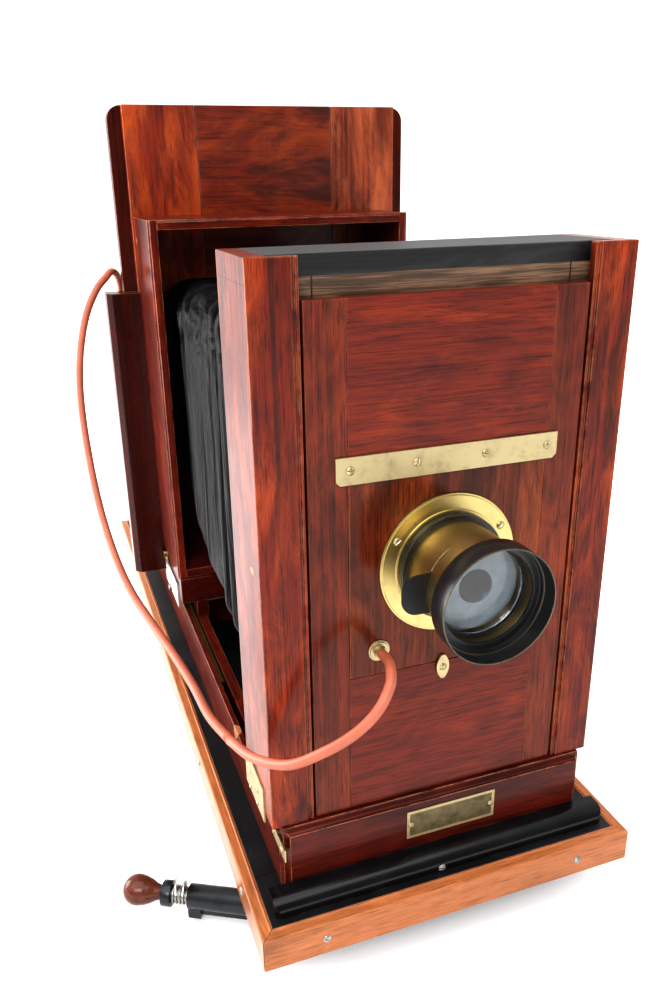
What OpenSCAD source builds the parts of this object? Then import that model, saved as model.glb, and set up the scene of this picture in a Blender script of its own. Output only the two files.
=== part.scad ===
// Studio view camera on its stand table: sliding front panel with a portrait lens and an air shutter,
// soft bellows, and a rear box on a racked carriage with a plate back that shifts both ways.
// Millimetres, +Z up, the lens looks along -Y. The origin is the centre of the base plate's underside.

/* [Table] */
// Width of the table top, edging included
table_w = 440; // [420:5:520]
// Length of the table top, edging included
table_l = 1200; // [1150:10:1500]
// Thickness of the black table boards
board_t = 18; // [12:1:24]
// Height of the table's edging boards
edge_h = 39; // [30:1:60]
// Thickness of the table's edging boards
edge_t = 14; // [10:1:20]
// Height of the edging above the surface that the bearers stand on
bearer_h = 56; // [48:1:80]
// Width of each long bearer under the table
bearer_w = 45; // [30:1:60]

/* [Bed] */
// Width over the two side boards of the bed
bed_w = 362; // [340:2:372]
// Length of the bed, from the front of the box to its tail
bed_l = 1060; // [1000:10:1100]
// Height of the bed's side boards
bed_h = 70; // [60:1:90]
// Thickness of the bed's side boards
bed_side_t = 7; // [6:0.5:10]
// Width of the groove that holds the focusing rack
rack_groove = 9; // [8:0.5:12]
// Width of the track that carries the carriage
track_w = 14; // [12:1:20]
// Height of the nosed bar along the table's front
bar_h = 19; // [14:1:24]
// Depth of that bar
bar_d = 26; // [20:1:34]

/* [Front box] */
// Width of the front box and of the rear box
box_w = 380; // [360:2:420]
// Height of the front box
box_h = 571.5; // [540:1:640]
// Depth of the front box
box_d = 103; // [95:1:130]
// Width of the strips at either side of the sliding panel, beads included
stile_w = 46; // [40:0.5:52]
// Thickness of those strips
stile_t = 10; // [8:0.5:14]
// Thickness of the front box's side boards
side_t = 20; // [16:0.5:24]
// Thickness of the rear box's boards
wall = 13; // [12:0.5:18]
// Height of the sliding panel
panel_h = 535; // [500:1:540]

/* [Lens] */
// Height of the lens axis above the floor of the front box
lens_h = 272; // [262:1:290]
// Radius of the lens barrel
barrel_r = 49.5; // [44:0.5:54]
// Wall of the lens barrel
barrel_t = 2; // [1.5:0.1:3]
// Distance from the panel to the front of the barrel
barrel_l = 78.5; // [70:0.5:90]
// Radius of the mounting flange
flange_r = 73.5; // [70:0.5:78]
// Radius of the hood
hood_r = 57; // [56:0.5:64]
// Depth of the hood
hood_l = 24; // [18:1:30]
// Radius of the opening in the loose stop
stop_r = 16.5; // [8:0.5:30]

/* [Rear box] */
// Distance from the front of the front box to the rear box, as set down
draw = 520; // [480:5:560]
// Height of the rear box
rear_h = 530; // [500:2:560]
// Depth of the rear box
rear_d = 141; // [130:1:160]
// Height of the wide shifting frame behind the rear box
wing_h = 465; // [440:5:500]
// Width of that frame
wing_w = 516; // [500:2:540]
// Width of the tall board above it
crown_w = 420; // [400:2:440]
// Height of the tall board
crown_h = 261; // [200:1:300]
// How far the back stands to one side of the lens axis
back_x = 18; // [0:1:20]

/* [Release handle] */
// Length of the turned knob
egg_l = 46; // [40:1:56]
// Largest radius of the turned knob
egg_r = 17.5; // [14:0.5:22]

/* [Hidden] */
$fn = 64;

fit = 0.3;                    // gap between pieces that slide on each other
run = 0.05;                   // radial gap of a shaft in its bearing
skin = 0.6;                   // gap between boards that only stand side by side
screw_r = 4;
table_top = bearer_h + edge_h;
front_y = 57 - table_l / 2;   // front face of the front box
bed_top = table_top + bed_h;
sill_h = 15;
box_z = bed_top + sill_h;     // underside of the front box
tail_y = front_y + bed_l;
plinth_l = bed_w - 2;
plinth_out = 8;               // how far the plinth stands in front of the box
plinth_in = 10;
plate_sq = 170;
plate_t = 8;
plate_bolt = 120;
bolt_r = 4.5;

side_in = box_w / 2 - side_t; // half the clear width inside the front box
panel_y = front_y + 1.5;      // front face of the sliding panel
panel_t = 14;
panel_back = panel_y + panel_t;
panel_w = box_w - 2 * stile_w - 5;
panel_rise = box_h - panel_h - 0.5;
lens_x = 2;
centre_w = 209;               // width of the boards between the panel's two rails
lens_z = box_z + lens_h;
lens_y = panel_y;             // plane that the flange seats on
board_z0 = box_z + 160;       // lower edge of the lens board
board_z1 = box_z + 382;
strip_z0 = box_z + 367.5;
strip_h = 27;
strip_l = 232;
strip_t = 2.5;
lens_hole_r = barrel_r + 1.5;
inner_r = barrel_r - barrel_t;
stop_off = 53.5;              // distance of the loose stop in front of the panel
stop_t = 1.6;
disc_r = inner_r - 5.5;       // radius of the loose stop's disc
tab_reach = 24;
glass_r = barrel_r - barrel_t - 4;
button_z = board_z0 - 6;
nipple_x = -71.5;
nipple_z = box_z + 188;
nipple_l = 15.5;
case_in = 184;                // inside of the shutter's case
case_out = 200;
case_l = 58;
shut_y = panel_back + case_l; // front of the shutter's plate
shut_hole = 42;
leaf_r = 46;
leaf_t = 1.2;
leaf_x = 12;                  // pivots of the leaves, to either side of the lens axis
leaf_pivot = 66;
piston_r = 5;
air_y = shut_y - 8;           // plane of the shutter's air pipe and cylinder

rear_y = front_y + draw;
rear_z = box_z + 50;          // underside of the rear box
back_y = rear_y + rear_d;     // front of the wide frame
base_h = 39;
base_y0 = rear_y - 6;
rack_m = 1.5;                 // module of the focusing rack
pinion_n = 20;
pinion_r = rack_m * pinion_n / 2;
rack_pitch = PI * rack_m;
track_x1 = bed_w / 2 - bed_side_t - rack_groove;
track_x0 = track_x1 - track_w;
groove_x = track_x1 + rack_groove / 2;
track_top = bed_top - 5;
runner_z0 = track_top + fit;
pitch_z = bed_top - 9;        // pitch line of the racks
shaft_z = pitch_z + pinion_r;
shaft_r = 5;
shaft_y = rear_y + 96;
rack_y0 = rear_y - 200;
rack_l = 620;
wing_t = 36;
wing_z = box_z + 5;
runner_y1 = back_y + wing_t;
crown_z = wing_z + wing_h;
crown_front = 14;             // thickness of the crown's front boards
guide_w = crown_w + 40;
guide_r = 20;
opening_w = 190;              // the plate's opening in the wide frame
opening_h = 200;
riser_open_w = 114;
riser_open_h = 172;
plate_z = lens_z;             // middle of the plate as set down
groove_lip = 7.5;             // how far a grooved rail reaches over the flange that slides in it
riser_w = 234;
riser_h = 330;
riser_t = 16;
riser_y = back_y + wing_t + fit;
shifter_w = 176;
shifter_h = 230;
shifter_t = 14;
shifter_y = riser_y + riser_t + fit;
holder_gap = 13;              // room for a plate holder
rail_t = 10;
glass_y = shifter_y + shifter_t + holder_gap;
frame_t = 12;
hinge_y = glass_y + fit + frame_t / 2;
hinge_z = plate_z - shifter_h / 2 + 6;
pane_w = 128;
pane_h = 178;
latch_z = plate_z + shifter_h / 2 - 6;

base_x_out = box_w / 2 - 2;    // outer side of the carriage's base
folds = 14;
bellows_x = 168;
bellows_low = box_z + 32;
bellows_top = box_z + 510;
bellows_rear_low = rear_z + wall + 4;
bellows_y0 = front_y + box_d + fit;
bellows_y1 = back_y - fit;
fold_depth = 9;
skin_t = 4;

hose_d = 10.5;
coil_r = 52;
coil_x = -174;
coil_z = 568;
coil_y = back_y + wing_t + 18;
peg_r = 4;
bulb_r = 27;
bulb_x = -206;
bulb_y = back_y + wing_t + bulb_r + 3;
bulb_z = 400;
// points that the air hose follows, from the nipple round the box and over the back
hose_route_front = [[-71.5, -558.4, 368.5], [-74.5, -572, 374], [-79, -589, 376], [-86, -604, 368],
    [-102, -613, 350], [-124, -611, 329], [-151, -599, 307], [-179.5, -575, 283], [-203, -531, 266],
    [-216, -481, 256]];
hose_route_rear = [[-216, -480, 256], [-227, -433, 256], [-234, -378, 264], [-246, -316, 275],
    [-262, -254, 289], [-279, -194, 311], [-290, -141, 342], [-298, -88, 388], [-302, -36, 452],
    [-301, 10, 520], [-293, 44, 574], [-276, 76, 626], [-255, 102, 660], [-238, 120, 675],
    [-228, 138, 681], [-219, 156, 676], [-213, 170, 661], [-212, 176, 642], [-216, 177, 620]];

handle_x = -302;              // neck of the knob, where the handle's rod leaves it
handle_y = -431;
handle_z = 30;
handle_turn = 29;             // turn of the handle from square to the table's edge
house_r = 14;
house_x = 37.5;
house_l = 112;
rod_r = 5;

module block(a, b) {
    translate(a) cube(b - a);
}

// a rod from the point p along Y, towards -Y
module along_y(p, r, l) {
    translate(p) rotate([90, 0, 0]) cylinder(r = r, h = l);
}

module along_x(p, r, l) {
    translate(p) rotate([0, 90, 0]) cylinder(r = r, h = l);
}

// a domed, slotted screw head whose seat is at the origin, facing +Z
module screw_head(r = screw_r) {
    difference() {
        intersection() {
            translate([0, 0, -r * 0.9]) sphere(r = r * 1.4, $fn = 32);
            cylinder(r = r, h = r);
        }
        translate([-r, -r * 0.12, r * 0.3]) cube([2 * r, r * 0.24, r]);
    }
}

module both_sides() {
    children();
    mirror([1, 0, 0]) children();
}

// ---- table ----

module base_plate() {
    color([0.12, 0.12, 0.13]) difference() {
        block([-plate_sq / 2, -plate_sq / 2, 0], [plate_sq / 2, plate_sq / 2, plate_t]);
        for (x = [-1, 1], y = [-1, 1])
            translate([x * plate_bolt / 2, y * plate_bolt / 2, -1])
                cylinder(r = bolt_r, h = plate_t + 2);
    }
}

// two long bearers and the seat block between them, which the base plate is bolted to
module table_bearers() {
    bearer_x = plate_sq / 2 + 30;
    bearer_top = table_top - board_t;
    bearer_l = table_l - 300;
    color([0.42, 0.24, 0.13]) {
        both_sides() block([bearer_x, -bearer_l / 2, 0],
            [bearer_x + bearer_w, bearer_l / 2, bearer_top]);
        difference() {
            block([-bearer_x, -plate_sq / 2 - 10, plate_t], [bearer_x, plate_sq / 2 + 10, bearer_top]);
            for (x = [-1, 1], y = [-1, 1])
                translate([x * plate_bolt / 2, y * plate_bolt / 2, 0])
                    cylinder(r = bolt_r, h = plate_t + 30);
        }
    }
}

module table_boards() {
    half_w = table_w / 2 - edge_t;
    joint_y = front_y + 30;
    board_z = table_top - board_t;
    color([0.05, 0.05, 0.055]) {
        block([-half_w, edge_t - table_l / 2, board_z], [half_w, joint_y - skin / 2, table_top]);
        block([-half_w, joint_y + skin / 2, board_z], [half_w, table_l / 2 - edge_t, table_top]);
    }
}

// section of the edging, its outer face at x = 0: a rounded top edge and a raised bead inside it
module edging_section() {
    round_r = 2.5;
    difference() {
        square([edge_t, edge_h]);
        translate([0, edge_h - round_r]) difference() {
            square([round_r, round_r + 1]);
            translate([round_r, 0]) circle(r = round_r, $fn = 32);
        }
    }
    translate([edge_t - round_r, edge_h]) circle(r = 1.4, $fn = 32);
}

// one mitred edging board of length l, its outer face along Y at x = 0
module edging_board(l) {
    reach = edge_t + 3;
    intersection() {
        translate([0, l / 2, 0]) rotate([90, 0, 0]) linear_extrude(l) edging_section();
        translate([0, 0, -1]) linear_extrude(edge_h + 5)
            polygon([[-1, -l / 2 - 1 + skin], [-1, l / 2 + 1 - skin], [reach, l / 2 - reach - skin],
                [reach, reach - l / 2 + skin]]);
    }
}

module table_edging() {
    color([0.72, 0.40, 0.20]) translate([0, 0, bearer_h]) {
        both_sides() translate([-table_w / 2, 0, 0]) edging_board(table_l);
        for (turn = [90, 270])
            rotate(turn) translate([-table_l / 2, 0, 0]) edging_board(table_w);
    }
}

module table_screws() {
    screw_z = bearer_h + edge_h / 2;
    bar_front = front_y - plinth_out - 0.5 - bar_d;
    color([0.25, 0.25, 0.26]) {
        for (x = [-152, 152])
            translate([x, -table_l / 2, screw_z]) rotate([90, 0, 0]) rotate(x) screw_head();
        both_sides() for (y = [92, 327, 648, 1100])
            translate([-table_w / 2, y - table_l / 2, screw_z]) rotate([0, -90, 0]) rotate(y)
                screw_head();
        translate([-10, bar_front, table_top + screw_r + 0.5]) rotate([90, 0, 0]) rotate(60)
            screw_head();
    }
}

// a bar along the front of the table, rounded over its front edge and at the ends
module stop_bar() {
    bar_l = 400;
    nose = 15;
    end_r = 8;
    bar_y = front_y - plinth_out - 0.5 - bar_d;
    color([0.03, 0.03, 0.035]) translate([0, bar_y, table_top]) intersection() {
        translate([-bar_l / 2, 0, 0]) rotate([90, 0, 90]) linear_extrude(bar_l) difference() {
            square([bar_d, bar_h]);
            translate([-1, bar_h - nose]) difference() {
                square([nose + 1, nose + 1]);
                translate([nose + 1, 0]) circle(r = nose);
            }
        }
        linear_extrude(bar_h + 2) {
            translate([end_r - bar_l / 2, 0]) square([bar_l - 2 * end_r, bar_d]);
            translate([-bar_l / 2, end_r]) square([bar_l, bar_d - end_r]);
            for (x = [-1, 1])
                translate([x * (bar_l / 2 - end_r), end_r]) circle(r = end_r);
        }
    }
}

// ---- bed ----

module bed_sides() {
    color([0.45, 0.15, 0.07]) both_sides()
        block([bed_w / 2 - bed_side_t, front_y + plinth_in, table_top], [bed_w / 2, tail_y, bed_top]);
}

// the two tracks, the ties between them and the sill that the front box stands on
module bed_tracks() {
    tie_w = 38;
    sill_y0 = front_y + plinth_in + 4;
    sill_y1 = front_y + box_d - 8;
    color([0.42, 0.15, 0.07]) {
        both_sides() block([track_x0, front_y + plinth_in, table_top], [track_x1, tail_y, track_top]);
        for (y = [front_y + 30, 60, tail_y - tie_w - 4])
            block([-track_x0, y, table_top], [track_x0, y + tie_w, track_top - 20]);
        block([-bed_w / 2 + 2, sill_y0, bed_top], [bed_w / 2 - 2, sill_y1, box_z]);
        for (x = [-1, 1])
            block([x * (track_x0 + track_w / 2) - 5, sill_y0, track_top - 0.01],
                [x * (track_x0 + track_w / 2) + 5, sill_y1, bed_top]);
    }
}

// straight teeth along Y, cut into a strip whose pitch line is at z = 0
module rack_strip(l) {
    count = floor(l / rack_pitch) - 2;
    foot = rack_m * 1.3;
    difference() {
        block([-2.8, 0, -8], [2.8, l, rack_m * 0.9]);
        translate([-4, 0, 0]) rotate([90, 0, 90]) linear_extrude(8)
            for (i = [0 : count])
                translate([(i + 1) * rack_pitch, 0]) polygon([[-rack_pitch * 0.17, -foot],
                    [rack_pitch * 0.17, -foot], [rack_pitch * 0.42, rack_m],
                        [-rack_pitch * 0.42, rack_m]]);
    }
}

// the racks lie so that a tooth space is under the pinions
module focus_racks() {
    start_y = shaft_y - floor((shaft_y - rack_y0) / rack_pitch) * rack_pitch;
    color([0.72, 0.56, 0.26]) both_sides() translate([groove_x, start_y, pitch_z]) {
        rack_strip(rack_l);
        block([-2, 20, table_top - pitch_z], [2, rack_l - 20, -7.99]);
    }
}

module plinth() {
    cove = 6;
    front = front_y - plinth_out;
    body_front = front_y - 1;
    top = box_z - 2;
    color([0.36, 0.09, 0.06]) {
        block([-plinth_l / 2, body_front, table_top], [plinth_l / 2, front_y + plinth_in, top]);
        difference() {
            block([-plinth_l / 2, front, table_top], [plinth_l / 2, body_front + 0.01, top]);
            // a hollow moulding along the top and both ends
            translate([-plinth_l / 2 - 1, front, top]) rotate([0, 90, 0])
                cylinder(r = cove, h = plinth_l + 2);
            both_sides() translate([plinth_l / 2, front, table_top - 1]) cylinder(r = cove, h = 200);
        }
        block([1 - plinth_l / 2, front_y - 2.5, top - 4],
            [plinth_l / 2 - 1, front_y + plinth_in, box_z - 0.1]);
    }
}

// the blank nameplate, and the plates that tie the front box to the bed
module brass_plates() {
    leaf_t = 1.6;
    color([0.68, 0.58, 0.33]) {
        block([-41, front_y - plinth_out - 0.8, box_z - 53], [67, front_y - plinth_out, box_z - 17]);
        block([-bed_w / 2 - leaf_t, front_y - 16, box_z - 31], [-bed_w / 2, front_y + 32, box_z - 16]);
        both_sides() {
            translate([box_w / 2, 0, 0]) rotate([90, 0, 90]) linear_extrude(leaf_t)
                polygon([[front_y + 28, box_z - 13], [front_y + 28, box_z + 30],
                    [front_y + 90, box_z + 34],
                    [front_y + 103, box_z + 14], [front_y + 103, box_z - 13]]);
            block([bed_w / 2 - 2, front_y + 46, box_z - 3],
                [box_w / 2 + leaf_t / 2, front_y + box_d - 8, box_z]);
        }
    }
}

module brass_screws() {
    leaf_t = 1.6;
    color([0.70, 0.58, 0.30]) {
        for (x = [-36, 62])
            translate([x, front_y - plinth_out - 0.8, box_z - 35]) rotate([90, 0, 0]) rotate(x)
                screw_head(2.2);
        both_sides() {
            for (p = [[86.6, 10.4], [84, -8], [52.2, 11], [55, -8]])
                translate([box_w / 2 + leaf_t, front_y + p[0], box_z + p[1]]) rotate([0, 90, 0])
                    rotate(p[0]) screw_head(3.4);
        }
        for (y = [-5, 24])
            translate([-bed_w / 2 - leaf_t, front_y + y, box_z - 23.5]) rotate([0, -90, 0])
                rotate(y * 3) screw_head(3.4);
    }
}

// ---- front box ----

// side boards with the front strips, their beads and the guides that the panel slides in
module front_box_sides() {
    inner = box_w / 2 - stile_w;
    box_top = box_z + box_h;
    color([0.45, 0.15, 0.09]) both_sides() difference() {
        union() {
            block([inner, front_y, box_z], [box_w / 2, front_y + stile_t, box_top]);
            block([side_in, front_y + stile_t - 0.01, box_z], [box_w / 2, front_y + box_d, box_top]);
            block([side_in - 13, panel_back + fit, box_z],
                [side_in + 0.01, panel_back + fit + 12, box_top - 19]);
        }
        // the groove that sets off the bead
        block([inner + 3, front_y - 1, box_z - 1], [inner + 6, front_y + 3, box_top + 1]);
        block([inner - 1, front_y - 1, box_z - 1], [inner + 6, front_y + 0.8, box_top + 1]);
    }
}

// top and bottom, the fixed board behind the panel and the rear boards that the bellows is pinned to
module front_box_boards() {
    fixed_y = panel_back + fit + 0.5;
    fixed_t = 12;
    top_t = 18.5;
    clear = case_out / 2 + 6;
    box_top = box_z + box_h;
    rear = front_y + box_d;
    color([0.14, 0.13, 0.13]) {
        block([-side_in, fixed_y, box_top - top_t], [side_in, rear, box_top]);
        block([-side_in, fixed_y + fixed_t, box_z], [side_in, rear, box_z + wall]);
        difference() {
            block([13.3 - side_in, fixed_y, box_z],
                [side_in - 13.3, fixed_y + fixed_t, box_top - top_t]);
            block([lens_x - clear, fixed_y - 1, lens_z - clear],
                [lens_x + clear, fixed_y + fixed_t + 1, lens_z + clear + panel_rise]);
        }
        block([-side_in, rear - 12, bellows_top + 1], [side_in, rear, box_top - top_t + 0.01]);
        block([-side_in, rear - 12, box_z + wall - 0.01], [side_in, rear, bellows_low - 1]);
    }
}

// ---- sliding panel ----

module panel_rails() {
    tongue_x = side_in - 0.5;
    top = box_z + panel_h;
    color([0.50, 0.17, 0.10]) for (s = [-1, 1]) {
        joint_x = lens_x + s * centre_w / 2;
        edge_x = s * panel_w / 2;
        block([min(joint_x, edge_x), panel_y, box_z + 0.5], [max(joint_x, edge_x), panel_back, top]);
        block([min(edge_x, s * tongue_x) - 0.01, front_y + stile_t + fit, box_z + 0.5],
            [max(edge_x, s * tongue_x) + 0.01, panel_back, top]);
    }
}

module panel_boards() {
    x0 = lens_x - centre_w / 2;
    x1 = lens_x + centre_w / 2;
    color([0.55, 0.20, 0.12]) {
        block([x0, panel_y, board_z1], [x1, panel_back, box_z + panel_h]);
        block([x0, panel_y, box_z + 0.5], [x1, panel_back, board_z0]);
    }
}

module lens_board() {
    x0 = lens_x - centre_w / 2;
    x1 = lens_x + centre_w / 2;
    color([0.50, 0.20, 0.09]) difference() {
        block([x0 + 0.3, panel_y, board_z0 + 0.1], [x1 - 0.3, panel_back, board_z1 - 0.1]);
        along_y([lens_x, panel_back + 1, lens_z], lens_hole_r, panel_t + 2);
        along_y([nipple_x, panel_back + 1, nipple_z], 4, panel_t + 2);
    }
}

module board_strip() {
    color([0.66, 0.58, 0.38]) translate([lens_x - 1, panel_y, strip_z0]) rotate([90, 0, 0])
        linear_extrude(strip_t)
        difference() {
            translate([-strip_l / 2, 0]) square([strip_l, strip_h]);
            for (x = [-1, 1])
                translate([x * strip_l / 2, 0]) rotate(45) square(6, center = true);
        }
}

module panel_screws() {
    color([0.62, 0.55, 0.36]) {
        for (x = [-101, -34, 38, 106])
            translate([x, panel_y - strip_t, strip_z0 + 14]) rotate([90, 0, 0]) rotate(x)
                screw_head(4.2);
        translate([0, panel_y - 3.2, button_z]) rotate([90, 0, 0]) rotate(50) screw_head(4);
        along_y([0, panel_y, button_z], 2, 3.21);
        for (a = [30, 150, 270])
            on_lens_axis() rotate(a) translate([64.5, 0, 3.5]) screw_head(4.2);
    }
}

// a pointed oval that turns on its screw to hold the lens board
module turn_button() {
    arc_r = 20.5;
    arc_off = 13.25;
    color([0.60, 0.50, 0.30]) translate([0, panel_y - 0.3, button_z]) rotate([90, 0, 0]) difference() {
        linear_extrude(2.6) intersection() {
            translate([-arc_off, 0]) circle(r = arc_r);
            translate([arc_off, 0]) circle(r = arc_r);
            circle(r = 14);
        }
        translate([0, 0, -1]) cylinder(r = 2 + run, h = 5);
    }
}

// ---- lens ----

// turns a piece so that its height is its distance in front of the panel, along the lens axis
module on_lens_axis() {
    translate([lens_x, lens_y, lens_z]) rotate([90, 0, 0]) children();
}

module lens_flange() {
    color([0.78, 0.65, 0.32]) on_lens_axis() difference() {
        union() {
            cylinder(r = flange_r, h = 2.5);
            cylinder(r = flange_r - 2, h = 3.5);
            cylinder(r = barrel_r + 8, h = 5.5);
        }
        translate([0, 0, -1]) cylinder(r = barrel_r + 0.1, h = 12);
    }
}

module lens_collar() {
    color([0.08, 0.08, 0.09]) on_lens_axis() difference() {
        translate([0, 0, 5.5]) cylinder(r = barrel_r + 5.5, h = 8);
        cylinder(r = barrel_r + 0.1, h = 14);
    }
}

module lens_barrel() {
    slot = stop_t + 2 * fit;
    half = disc_r + fit;
    back_l = 46;
    color([0.72, 0.60, 0.36]) on_lens_axis() difference() {
        translate([0, 0, -back_l]) cylinder(r = barrel_r, h = barrel_l + back_l);
        translate([0, 0, -back_l - 1]) cylinder(r = inner_r, h = barrel_l + back_l + 2);
        translate([-barrel_r - 1, -half, stop_off - slot / 2]) cube([barrel_r + 1, 2 * half, slot]);
    }
}

module lens_hood() {
    color([0.06, 0.06, 0.065]) on_lens_axis() difference() {
        union() {
            translate([0, 0, barrel_l - 6]) cylinder(r = barrel_r + 2.2, h = 10);
            translate([0, 0, barrel_l + 1]) cylinder(r = hood_r, h = hood_l);
        }
        translate([0, 0, barrel_l - 7]) cylinder(r = barrel_r + 0.1, h = 7.01);
        translate([0, 0, barrel_l - 1]) cylinder(r = inner_r - 1, h = 20);
        translate([0, 0, barrel_l + 4]) cylinder(r = hood_r - 3.5, h = hood_l);
        translate([0, 0, barrel_l + 9]) cylinder(r = hood_r - 1.6, h = hood_l);
    }
}

// a glass of radius r from z = 0 to z = t, with a dome of height d on its front
module dome_glass(r, t, d) {
    ball = (r * r + d * d) / (2 * d);
    rotate_extrude() intersection() {
        square([r, t + d]);
        union() {
            square([r, t]);
            translate([0, t + d - ball]) circle(r = ball, $fn = 180);
        }
    }
}

// the metal ring that holds a glass in the barrel
module glass_cell(l) {
    difference() {
        cylinder(r = inner_r - 0.05, h = l);
        translate([0, 0, -1]) cylinder(r = glass_r + 0.05, h = l + 2);
    }
}

module front_lens() {
    color([0.55, 0.62, 0.66, 0.5]) on_lens_axis() translate([0, 0, 61.5]) {
        dome_glass(glass_r, 6, 4);
        glass_cell(9);
    }
}

module rear_lens() {
    color([0.55, 0.62, 0.66, 0.5]) on_lens_axis() translate([0, 0, -43]) {
        cylinder(r = glass_r, h = 6);
        glass_cell(12);
    }
}

module waterhouse_stop() {
    tab_w = 40;
    end_r = 16;
    tip = barrel_r + tab_reach;
    color([0.16, 0.17, 0.18]) on_lens_axis() translate([0, 0, stop_off - stop_t / 2])
        linear_extrude(stop_t) difference() {
        union() {
            circle(r = disc_r);
            translate([end_r - tip, -tab_w / 2]) square([tip - end_r, tab_w]);
            translate([-tip, end_r - tab_w / 2]) square([end_r, tab_w - 2 * end_r]);
            for (y = [-1, 1])
                translate([end_r - tip, y * (tab_w / 2 - end_r)]) circle(r = end_r);
        }
        circle(r = stop_r);
    }
}

// ---- air shutter ----

// the nipple on the panel, and the pipe that leads back to the shutter's cylinder
module hose_nipple() {
    pipe_back = air_y - panel_y;
    color([0.68, 0.60, 0.38]) translate([nipple_x, panel_y, nipple_z]) rotate([90, 0, 0]) difference() {
        union() {
            cylinder(r = 11.5, h = 2);
            cylinder(r = 10, h = 3.5);
            cylinder(r = 6.5, h = 8);
            translate([0, 0, -pipe_back]) cylinder(r = 3.8, h = nipple_l + pipe_back);
        }
        translate([0, 0, -pipe_back - 1]) cylinder(r = 2, h = nipple_l + pipe_back + 2);
    }
}

module shutter_case() {
    half = case_out / 2;
    color([0.12, 0.11, 0.10]) {
        difference() {
            block([lens_x - half, panel_back, lens_z - half], [lens_x + half, shut_y, lens_z + half]);
            block([lens_x - case_in / 2, panel_back - 1, lens_z - case_in / 2],
                [lens_x + case_in / 2, shut_y + 1, lens_z + case_in / 2]);
        }
        difference() {
            block([lens_x - half, shut_y, lens_z - half], [lens_x + half, shut_y + 2, lens_z + half]);
            along_y([lens_x, shut_y + 5, lens_z], shut_hole, 20);
        }
        for (x = [-1, 1])
            along_y([lens_x + x * leaf_x, shut_y + 7, lens_z - leaf_pivot], 2, 5.01);
    }
}

module shutter_cylinder() {
    half = 8;
    foot_z = nipple_z - 6;
    color([0.70, 0.58, 0.30]) difference() {
        block([nipple_x - half, air_y - half, foot_z], [nipple_x + half, shut_y, foot_z + 80]);
        translate([nipple_x, air_y, nipple_z]) cylinder(r = piston_r, h = 100);
        along_y([nipple_x, air_y, nipple_z], 3.85, 20);
    }
}

module shutter_piston() {
    color([0.60, 0.60, 0.58]) translate([nipple_x, air_y, nipple_z + 8]) {
        cylinder(r = piston_r - run, h = 24);
        cylinder(r = 2, h = 76);
    }
}

// one half-round leaf; side is -1 on the left and 1 on the right, layer sets how far back it lies
module shutter_leaf(side, layer) {
    leaf_y = shut_y + 2.6 + layer * (leaf_t + 0.5);
    color([0.07, 0.07, 0.08]) translate([lens_x, leaf_y + leaf_t, lens_z]) rotate([90, 0, 0])
        linear_extrude(leaf_t)
        difference() {
            union() {
                intersection() {
                    circle(r = leaf_r);
                    translate([side < 0 ? -leaf_r : -3, -leaf_r]) square([leaf_r + 3, 2 * leaf_r]);
                }
                translate([side * leaf_x - 5, -leaf_pivot]) square([10, leaf_pivot - leaf_r + 12]);
                translate([side * leaf_x, -leaf_pivot]) circle(r = 5);
            }
            translate([side * leaf_x, -leaf_pivot]) circle(r = 2 + run);
        }
}

module shutter_leaf_left() {
    shutter_leaf(-1, 0);
}

module shutter_leaf_right() {
    shutter_leaf(1, 1);
}

// ---- carriage ----

module carriage_base() {
    base_x = box_w / 2 - 2;
    low = rear_z - base_h - 2;
    color([0.30, 0.10, 0.06]) difference() {
        union() {
            block([-base_x, base_y0, low], [base_x, base_y0 + 44, rear_z - 0.1]);
            block([-base_x, back_y - 44, low], [base_x, back_y - 0.1, rear_z - 0.1]);
            both_sides() {
                block([track_x0, base_y0, low], [base_x, back_y - 0.1, rear_z - 0.1]);
                block([track_x0 - 4, base_y0 + 4, runner_z0],
                    [track_x1 - 0.5, runner_y1, min(low + 0.01, wing_z - 0.1)]);
                block([track_x0 - 4, base_y0 + 4, runner_z0], [track_x1 - 0.5, back_y - 1, low + 0.01]);
                // the lip that keeps the runner on its track
                block([track_x0 - 4, base_y0 + 4, track_top - 14],
                    [track_x0 - fit, runner_y1, runner_z0 + 1]);
            }
        }
        along_x([-box_w / 2 - 10, shaft_y, shaft_z], shaft_r + run, box_w + 20);
    }
}

// nickelled plates at either side of the carriage, with their screws
module side_plates() {
    color([0.80, 0.80, 0.80]) both_sides() {
        difference() {
            block([box_w / 2 - 2, base_y0 + 31, box_z - 12], [box_w / 2 + 0.4, back_y - 1, box_z + 30]);
            along_x([box_w / 2 - 3, shaft_y, shaft_z], shaft_r + 0.5, 8);
        }
        for (y = [40, 74, 130])
            translate([box_w / 2 + 0.4, base_y0 + y, box_z + 19]) rotate([0, 90, 0]) rotate(y)
                screw_head(3);
    }
}

module pinion_outline() {
    root = pinion_r - 1.25 * rack_m;
    tip = pinion_r + 0.85 * rack_m;
    circle(r = root);
    for (i = [0 : pinion_n - 1])
        rotate(i * 360 / pinion_n - 90) polygon([[root - 1, -rack_m * 0.80], [pinion_r, -rack_m * 0.58],
            [tip, -rack_m * 0.22], [tip, rack_m * 0.22], [pinion_r, rack_m * 0.58],
                [root - 1, rack_m * 0.80]]);
}

module focus_shaft() {
    color([0.60, 0.60, 0.58]) {
        along_x([-box_w / 2 - 4, shaft_y, shaft_z], shaft_r, box_w + 26);
        both_sides() translate([groove_x - 2, shaft_y, shaft_z]) rotate([90, 0, 90]) linear_extrude(4)
            pinion_outline();
    }
}

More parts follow.
